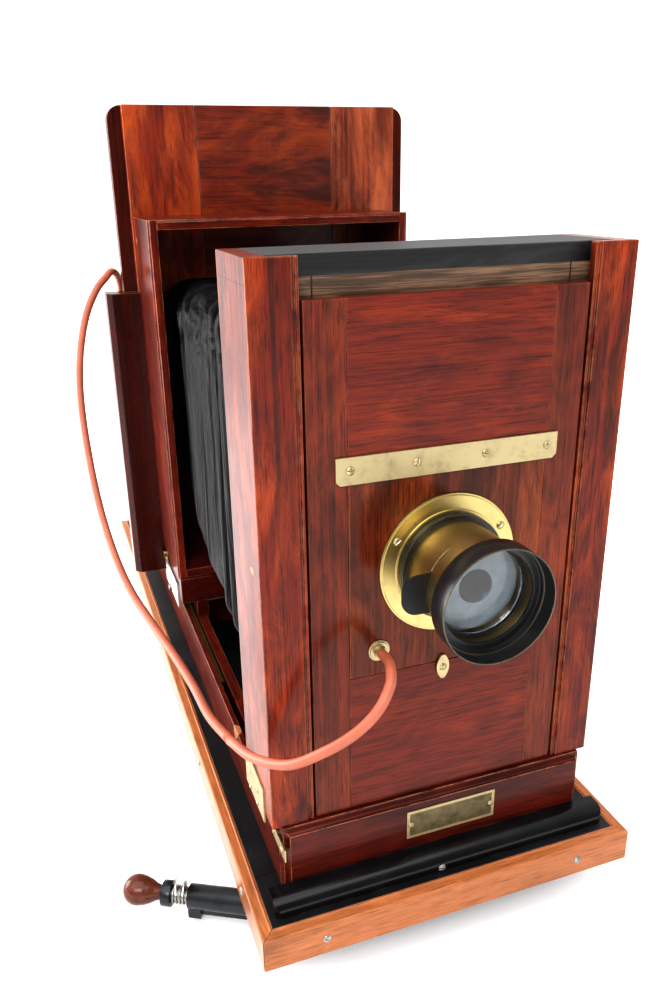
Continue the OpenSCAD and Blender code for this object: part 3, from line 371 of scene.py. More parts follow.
def clear_glass(name, rim=None):
    """Polished glass; outside the radius of rim it is the black cell that holds it."""
    finish = Finish(name)
    glass = finish.node("ShaderNodeBsdfPrincipled", None, {"Base Color": (0.93, 0.96, 0.98, 1), "Roughness": 0.03,
                        "Transmission Weight": 1.0, "IOR": 1.5})
    cell = finish.node("ShaderNodeBsdfPrincipled", None, {"Base Color": (0.012, 0.012, 0.013, 1), "Roughness": 0.4})
    shader = finish.node("ShaderNodeMixShader", None, [from_axis(finish) > rim, glass, cell])
    finish.node("ShaderNodeOutputMaterial", None, {"Surface": shader})
    return finish.material


def stop_plate(name):
    """The slip-in stop: black tab, and the pale grey plate that shows inside the barrel."""
    finish = Finish(name)
    rubbed = finish.noise(60, 4, 0.6)
    plate = from_axis(finish) < 0.0465
    pale = finish.mix(rubbed.spread(0.35, 0.70), (0.25, 0.29, 0.31), (0.34, 0.385, 0.41))
    base = finish.mix(plate, (0.010, 0.010, 0.011), pale)
    return finish.finish(Base_Color=base, Roughness=0.42 + rubbed * 0.12, Normal=finish.bump(rubbed, 0.05, 0.0003))


def name_plate_brass(name, colour):
    """Cast brass plates, with a plain dark field inside the rim of the front plate."""
    finish = Finish(name)
    stain = finish.noise(60, 5, 0.65)
    inside = ((finish.axis("X") - 0.013).size() < 0.0505) * ((finish.axis("Z") - 0.145).size() < 0.0145)
    front = finish.axis("Y") < (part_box("plinth")[0][1] - 0.0004)
    field = inside * front
    base = finish.mix(stain.spread(0.45, 0.78) * 0.6, colour, shade(colour, 0.45))
    base = finish.mix(field * (0.45 + stain * 0.6), base, shade(colour, 0.16))
    ripple = finish.noise(420, 3, 0.6)
    return finish.finish(Base_Color=base, Metallic=1.0, Roughness=stain * 0.25 + 0.30,
                         Normal=finish.bump(ripple * (0.2 + field * 0.8) - field * 0.8, 0.35, 0.0005))


def matt_glass(name):
    finish = Finish(name)
    grit = finish.noise(900, 2, 0.5)
    return finish.finish(Base_Color=(0.72, 0.78, 0.78), Roughness=grit * 0.1 + 0.5, Transmission_Weight=0.6,
                         Normal=finish.bump(grit, 0.1, 0.0002))


def rubber(name, colour):
    finish = Finish(name)
    bloom = finish.noise(30, 5, 0.65)
    fine = finish.noise(700, 2, 0.5)
    base = finish.mix(bloom.spread(0.4, 0.75) * 0.5, colour, shade(colour, 1.45))
    return finish.finish(Base_Color=base, Roughness=bloom * 0.2 + 0.36, Normal=finish.bump(fine, 0.08, 0.0003),
                         Specular_IOR_Level=0.45)


def folded_leather(name, colour):
    """Black leather cloth, greyer in random patches, with a painted highlight on the fold ridges and over the slack
    bag.
    """
    finish = Finish(name)
    pebbles = finish.node("ShaderNodeTexVoronoi", None, {"Vector": finish.place, "Scale": 420.0})
    cloud = finish.noise(24, 6, 0.7)
    fold = finish.node("ShaderNodeAttribute", {"attribute_name": "ridge"}, output="Fac")
    base = finish.mix(cloud.spread(0.50, 0.80) * 0.5, colour, shade(colour, 3))
    # painted highlight: the leather is made lighter where the ridge attribute is high, on the fold ridges and over the
    # slack bag
    base = finish.mix(fold * cloud.spread(0.40, 0.66) * 0.35, base, shade(colour, 5))
    # slanting creases gather towards the top, long upright ones below
    turn = finish.node("ShaderNodeMapping", None, {"Vector": finish.place, "Rotation": (0.75, 0, 0),
                                                   "Scale": (6, 9, 30)})
    slant = 1 - (finish.noise(1.0, 1, 0.4, turn, 0.2) - 0.5).size() * 4
    upright = finish.noise(1.0, 3, 0.6, finish.stretched((20, 46, 4)), 0.4)
    high_up = finish.axis("Z").spread(0.56, 0.64)
    creases = slant * high_up * 0.9 + upright * (1.5 - high_up)
    return finish.finish(Base_Color=base, Roughness=cloud * 0.3 + 0.18,
                         Normal=finish.bump(creases + pebbles * 0.02 + cloud * 0.10, 0.9, 0.005),
                         Specular_IOR_Level=0.045)


# ---------------------------------------------------------------- shapes

def new_piece(name, verts, faces, material, body, smooth=True):
    """A finished mesh that rides on a body."""
    mesh = bpy.data.meshes.new(name)
    mesh.from_pydata([tuple(v) for v in verts], [], [tuple(f) for f in faces])
    mesh.validate()
    obj = bpy.data.objects.new(name, mesh)
    bpy.context.scene.collection.objects.link(obj)
    mesh.materials.append(material)
    if smooth:
        mesh.polygons.foreach_set("use_smooth", [True] * len(mesh.polygons))
    if body:
        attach(obj, body)
    return obj


def turned(profile, place, facing, segments=72):
    """Vertices and faces of a closed turned shape: profile is (distance along the axis, radius) from end to
    end, both ends on the axis or meeting."""
    facing = Vector(facing).normalized()
    side = facing.orthogonal().normalized()
    other = facing.cross(side)
    verts, faces = [], []
    for along, radius in profile:
        for i in range(segments):
            angle = 2 * math.pi * i / segments
            verts.append(Vector(place) + facing * along + (side * math.cos(angle) + other * math.sin(angle)) * radius)
    for j in range(len(profile) - 1):
        for i in range(segments):
            k = (i + 1) % segments
            faces.append((j * segments + i, j * segments + k, (j + 1) * segments + k, (j + 1) * segments + i))
    faces.append(tuple(range(segments - 1, -1, -1)))
    faces.append(tuple((len(profile) - 1) * segments + i for i in range(segments)))
    return verts, faces


def tube_along(path, radius, sides=14):
    """A closed tube along points, its section carried on without twist."""
    path = [Vector(p) for p in path]
    verts, faces = [], []
    last = len(path) - 1
    normal = None
    for i, point in enumerate(path):
        ahead = (path[min(i + 1, last)] - path[max(i - 1, 0)]).normalized()
        normal = ahead.orthogonal() if normal is None else normal - ahead * normal.dot(ahead)
        normal.normalize()
        other = ahead.cross(normal)
        for k in range(sides):
            angle = 2 * math.pi * k / sides
            verts.append(point + (normal * math.cos(angle) + other * math.sin(angle)) * radius)
    for i in range(last):
        for k in range(sides):
            n = (k + 1) % sides
            faces.append((i * sides + k, i * sides + n, (i + 1) * sides + n, (i + 1) * sides + k))
    faces.append(tuple(range(sides - 1, -1, -1)))
    faces.append(tuple(last * sides + k for k in range(sides)))
    return verts, faces


def through(points, steps=6):
    """A smooth curve through points, as closely spaced points."""
    points = [Vector(p) for p in points]
    last = len(points) - 1
    curve = []
    for i in range(last):
        a, b = points[i], points[i + 1]
        reach = (b - a).length / 3
        out = (points[min(i + 1, last)] - points[max(i - 1, 0)]).normalized() * reach
        back = (points[min(i + 2, last)] - points[i]).normalized() * reach
        for k in range(steps):
            t = k / steps
            s = 1 - t
            curve.append(a * s ** 3 + (a + out) * 3 * s * s * t + (b - back) * 3 * s * t * t + b * t ** 3)
    return curve + [points[last]]


def soften(node, width=0.0009, angle=35):
    """Rounds a CAD node's edges by modifiers only."""
    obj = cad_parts[node]
    weld = obj.modifiers.new("join", "WELD")
    weld.merge_threshold = 0.00001
    flat = obj.modifiers.new("flat faces", "DECIMATE")
    flat.decimate_type = "DISSOLVE"
    flat.angle_limit = math.radians(0.5)
    bevel = obj.modifiers.new("rounded edges", "BEVEL")
    bevel.width = width
    bevel.segments = 2
    bevel.limit_method = "ANGLE"
    bevel.angle_limit = math.radians(angle)
    bevel.harden_normals = False


def dress(node, material):
    """Gives a CAD node its material."""
    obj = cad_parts[node]
    obj.data.materials.clear()
    obj.data.materials.append(material)


def realized(name, obj, body):
    """Turns an object with modifiers into a plain mesh piece and removes the first."""
    bpy.context.view_layer.update()
    mesh = bpy.data.meshes.new_from_object(obj.evaluated_get(bpy.context.evaluated_depsgraph_get()))
    bpy.data.objects.remove(obj)
    piece = bpy.data.objects.new(name, mesh)
    bpy.context.scene.collection.objects.link(piece)
    mesh.polygons.foreach_set("use_smooth", [True] * len(mesh.polygons))
    if body:
        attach(piece, body)
    return piece


# ---------------------------------------------------------------- screws, by Geometry Nodes

def screw_pattern():
    """A domed, slotted head of radius 1 on the plane z = 0, facing +Z."""
    half_slot = 0.13
    rows = [-0.98, -0.85, -0.65, -0.4, -half_slot - 0.03, -half_slot, half_slot, half_slot + 0.03, 0.4, 0.65,
            0.85, 0.98]
    columns = 10
    verts, faces = [], []
    for row in rows:
        reach = math.sqrt(1 - row * row)
        in_slot = abs(row) <= half_slot
        for i in range(columns + 1):
            x = reach * (2 * i / columns - 1)
            dome = 0.50 * (1 - 0.75 * (x * x + row * row))
            verts.append((x, row, min(dome, 0.16) if in_slot else dome))
    width = columns + 1
    for j in range(len(rows) - 1):
        for i in range(columns):
            faces.append((j * width + i, j * width + i + 1, (j + 1) * width + i + 1, (j + 1) * width + i))
    last = (len(rows) - 1) * width
    border = [i for i in range(width)] + [j * width + columns for j in range(1, len(rows))]
    border += [last + i for i in range(columns - 1, -1, -1)] + [j * width for j in range(len(rows) - 2, 0, -1)]
    foot = len(verts)
    verts += [(verts[i][0], verts[i][1], -0.05) for i in border]
    count = len(border)
    faces += [(border[(i + 1) % count], border[i], foot + i, foot + (i + 1) % count) for i in range(count)]
    faces.append(tuple(foot + i for i in range(count - 1, -1, -1)))
    mesh = bpy.data.meshes.new("screw pattern")
    mesh.from_pydata(verts, [], faces)
    obj = bpy.data.objects.new("screw pattern", mesh)
    bpy.context.scene.collection.objects.link(obj)
    return obj


def screw_tree(pattern, material):
    """Puts the pattern on every point, turned to face along the point's facing and spun by its spin."""
    tree = bpy.data.node_groups.new("screws on points", "GeometryNodeTree")
    tree.interface.new_socket("Points", in_out="INPUT", socket_type="NodeSocketGeometry")
    radius = tree.interface.new_socket("Head radius", in_out="INPUT", socket_type="NodeSocketFloat")
    radius.default_value = 0.004
    tree.interface.new_socket("Screws", in_out="OUTPUT", socket_type="NodeSocketGeometry")
    add = tree.nodes.new
    start, end = add("NodeGroupInput"), add("NodeGroupOutput")
    facing, spin = add("GeometryNodeInputNamedAttribute"), add("GeometryNodeInputNamedAttribute")
    facing.data_type = "FLOAT_VECTOR"
    facing.inputs["Name"].default_value = "facing"
    spin.data_type = "FLOAT"
    spin.inputs["Name"].default_value = "spin"
    turn = add("FunctionNodeAlignRotationToVector")
    turn.axis = "Z"
    about = add("FunctionNodeAxisAngleToRotation")
    about.inputs["Axis"].default_value = (0, 0, 1)
    both = add("FunctionNodeRotateRotation")
    both.rotation_space = "LOCAL"
    source = add("GeometryNodeObjectInfo")
    source.inputs["Object"].default_value = pattern
    put = add("GeometryNodeInstanceOnPoints")
    real = add("GeometryNodeRealizeInstances")
    paint = add("GeometryNodeSetMaterial")
    paint.inputs["Material"].default_value = material
    for a, b in (
        (facing.outputs["Attribute"], turn.inputs["Vector"]), (spin.outputs["Attribute"], about.inputs["Angle"]),
        (turn.outputs["Rotation"], both.inputs["Rotation"]), (about.outputs["Rotation"], both.inputs["Rotate By"]),
        (start.outputs["Points"], put.inputs["Points"]), (source.outputs["Geometry"], put.inputs["Instance"]),
        (both.outputs["Rotation"], put.inputs["Rotation"]), (start.outputs["Head radius"], put.inputs["Scale"]),
        (put.outputs["Instances"], real.inputs["Geometry"]), (real.outputs["Geometry"], paint.inputs["Geometry"]),
        (paint.outputs["Geometry"], end.inputs["Screws"]),
    ):
        tree.links.new(a, b)
    return tree, radius.identifier


def put_screws(name, places, radius, material, body):
    """places are (point, facing, spin in degrees)."""
    pattern = screw_pattern()
    tree, socket = screw_tree(pattern, material)
    mesh = bpy.data.meshes.new(name)
    mesh.from_pydata([p for p, _, _ in places], [], [])
    facings = mesh.attributes.new("facing", "FLOAT_VECTOR", "POINT")
    facings.data.foreach_set("vector", [part for _, facing, _ in places for part in facing])
    spins = mesh.attributes.new("spin", "FLOAT", "POINT")
    spins.data.foreach_set("value", [math.radians(spin) for _, _, spin in places])
    holder = bpy.data.objects.new(name + "_points", mesh)
    bpy.context.scene.collection.objects.link(holder)
    modifier = holder.modifiers.new("screws", "NODES")
    modifier.node_group = tree
    modifier[socket] = radius
    piece = realized(name, holder, body)
    bpy.data.objects.remove(pattern)
    return piece


def islands(node):
    """The boxes of a CAD node's separate solids, as (low, high)."""
    mesh = bmesh.new()
    mesh.from_mesh(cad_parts[node].data)
    bmesh.ops.remove_doubles(mesh, verts=mesh.verts, dist=1e-6)
    seen, found = set(), []
    for first in mesh.verts:
        if first in seen:
            continue
        stack, group = [first], []
        seen.add(first)
        while stack:
            vert = stack.pop()
            group.append(vert.co.copy())
            for edge in vert.link_edges:
                other = edge.other_vert(vert)
                if other not in seen:
                    seen.add(other)
                    stack.append(other)
        found.append((Vector(map(min, zip(*group))), Vector(map(max, zip(*group)))))
    mesh.free()
    return found


def screws_for(node, name, radius, material, body):
    """Replaces the simple heads of a CAD node by detailed ones in the same places."""
    places = []
    for i, (low, high) in enumerate(sorted(islands(node), key=lambda b: tuple(b[0]))):
        span = high - low
        thin = min(range(3), key=lambda a: span[a])
        centre = (low + high) / 2
        outward = Vector((0, 0, 0))
        side = -1 if centre[thin] < 0 else 1
        outward[thin] = side
        seat = centre.copy()
        seat[thin] = low[thin] if side > 0 else high[thin]
        places.append((seat, outward, 37 * i % 180))
    piece = put_screws(name, places, radius, material, body)
    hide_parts(node)
    return piece


# ---------------------------------------------------------------- operators

class STAGE_OT_camera(bpy.types.Operator):
    """Adds the camera."""
    bl_idname = "viewcam.camera"
    bl_label = "Camera"

    def execute(self, context):
        yaw, pitch, roll = 0.3401, 0.3657, -0.0168
        forward = Vector((math.sin(yaw) * math.cos(pitch), math.cos(yaw) * math.cos(pitch), -math.sin(pitch)))
        level = Vector((math.cos(yaw), -math.sin(yaw), 0))
        top = level.cross(forward)
        right = level * math.cos(roll) + top * math.sin(roll)
        up = top * math.cos(roll) - level * math.sin(roll)
        data = bpy.data.cameras.new("camera")
        data.lens = 30.39
        data.sensor_width = 36
        camera = bpy.data.objects.new("camera", data)
        context.scene.collection.objects.link(camera)
        camera.matrix_world = Matrix.Translation((-0.35759, -1.21958, 0.81052)) @ Matrix(
            (right, up, -forward)).transposed().to_4x4()
        context.scene.camera = camera
        return {"FINISHED"}


class STAGE_OT_studio(bpy.types.Operator):
    """Adds the pale floor, the white surroundings and the soft lights."""
    bl_idname = "viewcam.studio"
    bl_label = "Floor and lights"

    def execute(self, context):
        light = context.scene.camera_light
        paint = Finish("pale floor").finish(Base_Color=(0.94, 0.94, 0.95), Roughness=0.8)
        reach = 9.0
        mesh = bpy.data.meshes.new("floor")
        mesh.from_pydata([(-reach, -reach, 0), (reach, -reach, 0), (reach, reach, 0), (-reach, reach, 0)], [],
                         [(0, 1, 2, 3)])
        mesh.materials.append(paint)
        floor = bpy.data.objects.new("floor", mesh)
        context.scene.collection.objects.link(floor)
        context.scene.world = self.surroundings(light)
        context.scene.view_settings.view_transform = "Standard"
        context.scene.view_settings.look = "High Contrast"
        target = Vector((0, -0.2, 0.42))
        for name, place, size, power in (
            ("key light", (-1.3, -2.6, 2.1), 1.2, light.key),
            ("fill light", (2.3, -1.5, 1.4), 1.6, light.key * 0.30),
            ("side light", (-1.9, 0.9, 0.7), 1.3, light.key * 1.3),
        ):
            lamp = bpy.data.lights.new(name, "AREA")
            lamp.size = size
            lamp.energy = power
            obj = bpy.data.objects.new(name, lamp)
            context.scene.collection.objects.link(obj)
            obj.location = place
            obj.rotation_euler = (target - Vector(place)).to_track_quat("-Z", "Y").to_euler()
        ceiling = bpy.data.lights.new("ceiling light", "SUN")
        ceiling.energy = light.ceiling
        ceiling.angle = math.radians(70)
        obj = bpy.data.objects.new("ceiling light", ceiling)
        context.scene.collection.objects.link(obj)
        obj.rotation_euler = Vector((0.25, 0.35, -1)).to_track_quat("-Z", "Y").to_euler()
        return {"FINISHED"}

    @staticmethod
    def surroundings(light):
        """White behind the object and dimmer in front of it."""
        world = bpy.data.worlds.new("surroundings")
        world.use_nodes = True
        tree = world.node_tree
        facing = tree.nodes.new("ShaderNodeTexCoord")
        parts = tree.nodes.new("ShaderNodeSeparateXYZ")
        ramp = tree.nodes.new("ShaderNodeMapRange")
        ramp.inputs["From Min"].default_value = -0.9
        ramp.inputs["From Max"].default_value = 0.1
        ramp.inputs["To Min"].default_value = light.room
        ramp.inputs["To Max"].default_value = light.sky
        sky = tree.nodes["Background"]
        sky.inputs["Color"].default_value = (1, 1, 1, 1)
        tree.links.new(facing.outputs["Generated"], parts.inputs["Vector"])
        tree.links.new(parts.outputs["Y"], ramp.inputs["Value"])
        tree.links.new(ramp.outputs["Result"], sky.inputs["Strength"])
        return world


HOSE_FRONT = [(-0.0715, -0.5495, 0.368), (-0.0745, -0.572, 0.374), (-0.079, -0.589, 0.376), (-0.086, -0.604, 0.368),
              (-0.102, -0.613, 0.350), (-0.124, -0.611, 0.329), (-0.151, -0.599, 0.307), (-0.1795, -0.575, 0.283),
              (-0.203, -0.531, 0.266), (-0.216, -0.481, 0.256)]
HOSE_REAR = [(-0.216, -0.480, 0.256), (-0.227, -0.433, 0.256), (-0.234, -0.378, 0.264), (-0.246, -0.316, 0.275),
             (-0.262, -0.254, 0.289), (-0.279, -0.194, 0.311), (-0.290, -0.141, 0.342), (-0.298, -0.088, 0.388),
             (-0.302, -0.036, 0.452), (-0.301, 0.010, 0.520), (-0.293, 0.044, 0.574), (-0.276, 0.076, 0.626),
             (-0.255, 0.102, 0.660), (-0.238, 0.120, 0.675), (-0.228, 0.138, 0.681), (-0.219, 0.156, 0.676),
             (-0.213, 0.170, 0.661), (-0.212, 0.176, 0.642), (-0.216, 0.177, 0.620)]


class HOSE_OT_make(bpy.types.Operator):
    """Makes the air hose in two stretches, its coil behind the back and the bulb at its end."""
    bl_idname = "viewcam.hose"
    bl_label = "Air hose"

    def execute(self, context):
        sizes = context.scene.camera_hose
        radius = sizes.diameter / 2
        skin = rubber("hose rubber", tuple(sizes.rubber))
        front = through(HOSE_FRONT)
        verts, faces = tube_along(front, radius)
        near = new_piece("hose_near", verts, faces, skin, None)
        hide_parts("hose_front")
        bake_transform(near)
        low, high = (Vector(v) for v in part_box("hose_coil"))
        centre = (low + high) / 2
        coil_r = (high.x - low.x) / 2 - radius
        rear = through(HOSE_REAR)
        coil = []
        per_turn = 30
        lift = sizes.diameter * 0.98
        total = sizes.turns * per_turn
        for i in range(total + 1):
            angle = math.pi + 2 * math.pi * i / per_turn
            depth = (i / total - 0.5) * lift * (sizes.turns - 1) * 1.02
            coil.append(centre + Vector((coil_r * math.cos(angle), depth, coil_r * math.sin(angle))))
        bulb_low, bulb_high = (Vector(v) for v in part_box("squeeze_bulb"))
        bulb_r = (bulb_high.x - bulb_low.x) / 2
        bulb = Vector(((bulb_low.x + bulb_high.x) / 2, (bulb_low.y + bulb_high.y) / 2, bulb_low.z + bulb_r))
        onto_coil = Vector((centre.x - coil_r - 0.002, coil[0].y + 0.004, 0.592))
        lead_in = through([rear[-2], rear[-1], onto_coil, coil[0]])[6:]
        tail = through([coil[-1], Vector((coil[-1].x - 0.001, coil[-1].y, coil[-1].z - 0.03)),
                        Vector((bulb.x - 0.010, bulb.y, bulb.z + 0.085)), bulb + Vector((0, 0, bulb_r + 0.016))])
        path = rear + lead_in[1:] + coil[1:] + tail[1:]
        verts, faces = tube_along(path, radius)
        far = new_piece("hose_far", verts, faces, skin, None)
        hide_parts("hose_rear", "hose_coil")
        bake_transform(far)
        profile = [(-bulb_r * 1.0, 0.0012)]
        for i in range(1, 15):
            angle = math.pi * i / 18
            profile.append((-bulb_r * math.cos(angle), bulb_r * math.sin(angle)))
        profile += [(bulb_r * 0.98, 0.0108), (bulb_r + 0.006, 0.0090), (bulb_r + 0.016, 0.0082),
                    (bulb_r + 0.018, 0.0074), (bulb_r + 0.0185, 0.0005)]
        verts, faces = turned(profile, bulb, (0, 0, 1), 48)
        bulb_skin = rubber("bulb rubber", shade(sizes.rubber, 0.85))
        ball = new_piece("bulb", verts, faces, bulb_skin, CARRIAGE)
        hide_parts("squeeze_bulb")
        return {"FINISHED"}


class BELLOWS_OT_make(bpy.types.Operator):
    """Makes the soft bellows, folded near the front box and slack towards the back."""
    bl_idname = "viewcam.bellows"
    bl_label = "Bellows"

    def execute(self, context):
        sizes = context.scene.camera_bellows
        low, high = (Vector(v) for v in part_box("bellows"))
        half_w = (high.x - low.x) / 2 - 0.001
        centre_x = (high.x + low.x) / 2
        folded_to = low.y + 0.041 * sizes.folds
        bag_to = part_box("rear_box_rails")[0][1] + 0.004
        count = 4
        stations = [low.y + (folded_to - low.y) * i / (12 * sizes.folds) for i in range(12 * sizes.folds)]
        stations += [folded_to + (bag_to - folded_to) * i / 34 for i in range(34)]
        stations += [bag_to + (high.y - bag_to) * i / (8 * count) for i in range(8 * count + 1)]
        top = high.z - 0.002
        verts, ridges = [], []
        for y in stations:
            ring = self.section(y, low, top, half_w, folded_to, bag_to, count, sizes)
            section_count = len(ring)
            for x, z, ridge in ring:
                verts.append(Vector((centre_x + x, y, z)))
                ridges.append(ridge)
        faces = []
        for j in range(len(stations) - 1):
            for k in range(section_count):
                n = (k + 1) % section_count
                faces.append((j * section_count + k, (j + 1) * section_count + k, (j + 1) * section_count + n,
                              j * section_count + n))
        leather = folded_leather("folded leather", tuple(sizes.leather))
        skin = new_piece("bellows_skin", verts, faces, leather, None)
        # the ridge share is stored for the painted highlight of the leather
        skin.data.attributes.new("ridge", "FLOAT", "POINT").data.foreach_set("value", ridges)
        thick = skin.modifiers.new("leather", "SOLIDIFY")
        thick.thickness = 0.0016
        thick.offset = -1
        piece = realized("bellows_leather", skin, None)
        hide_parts("bellows")
        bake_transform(piece)
        return {"FINISHED"}

    @staticmethod
    def section(y, low, top, half_w, folded_to, bag_to, count, sizes):
        """One ring of the leather at y: folds in front, one slack bag behind them, folds again in the back."""
        if y < folded_to:
            wave = abs(math.sin(math.pi * sizes.folds * (y - low.y) / (folded_to - low.y))) ** 0.7
            slack = 0.0
        elif y < bag_to:
            share = (y - folded_to) / (bag_to - folded_to)
            wave = math.sin(math.pi * share) ** 0.33
            slack = math.sin(math.pi * share) ** 0.5
        else:
            wave = abs(math.sin(math.pi * count * (y - bag_to) / 0.137)) ** 0.7 - 1.6
            slack = 0.0
        back = min(1.0, max(0.0, (y - low.y) / (bag_to - low.y)))
        bottom = low.z + 0.024 + 0.052 * back ** 0.6
        foot = 0.022 + 0.095 * back ** 3
        head = 0.020 + 0.030 * back
        outline = []
        for cx, cz, start, corner in ((1, 1, 0, head), (-1, 1, 90, head), (-1, -1, 180, foot), (1, -1, 270, foot)):
            for k in range(9):
                a = math.radians(start + 90 * k / 8)
                x = cx * (half_w - corner) + corner * math.cos(a)
                z = (top - corner if cz > 0 else bottom + corner) + corner * math.sin(a)
                outline.append((x, z, math.cos(a), math.sin(a)))
        spans = [1] * 8 + [30] + [1] * 8 + [44] + [1] * 8 + [30] + [1] * 8 + [44]
        ring = []
        for k, parts in enumerate(spans):
            x, z, nx, nz = outline[k]
            x2, z2, nx2, nz2 = outline[(k + 1) % len(outline)]
            for part in range(parts):
                f = part / parts
                ring.append((x + (x2 - x) * f, z + (z2 - z) * f, nx + (nx2 - nx) * f, nz + (nz2 - nz) * f))
        done = []
        for x, z, nx, nz in ring:
            size = math.hypot(nx, nz) or 1
            nx, nz = nx / size, nz / size
            up = (z - bottom) / (top - bottom)
            crease = noise.noise(Vector((x * 5, y * 34, z * 3.0)))
            soft = crease * sizes.slack * (0.25 + 0.75 * slack) - 0.25 * sizes.slack
            # the slack top corner falls into slanting creases
            near_top = max(0.0, min(1.0, (up - 0.74) / 0.2)) * min(1.0, 0.35 + slack)
            near_top *= max(0.0, 1 - abs(back - 0.62) / 0.55)
            slant = Vector((x * 4, (y + z) * 9, (y - z) * 32))
            crumple = (1 - 2.2 * abs(noise.noise(slant))) + 0.4 * (1 - 2 * abs(noise.noise(slant * 2.3)))
            soft += (crumple - 0.9) * 0.011 * near_top
            sag = -0.016 * math.cos(math.pi * x / (2 * half_w)) * slack if nz > 0.5 else 0.0
            move = sizes.depth * (wave - 1) + min(0.001, soft)
            # the third value is the ridge share, which drives the painted highlight of the leather
            done.append((x + nx * move, z + nz * move + sag, max(0.0, wave) ** 3))
        return done


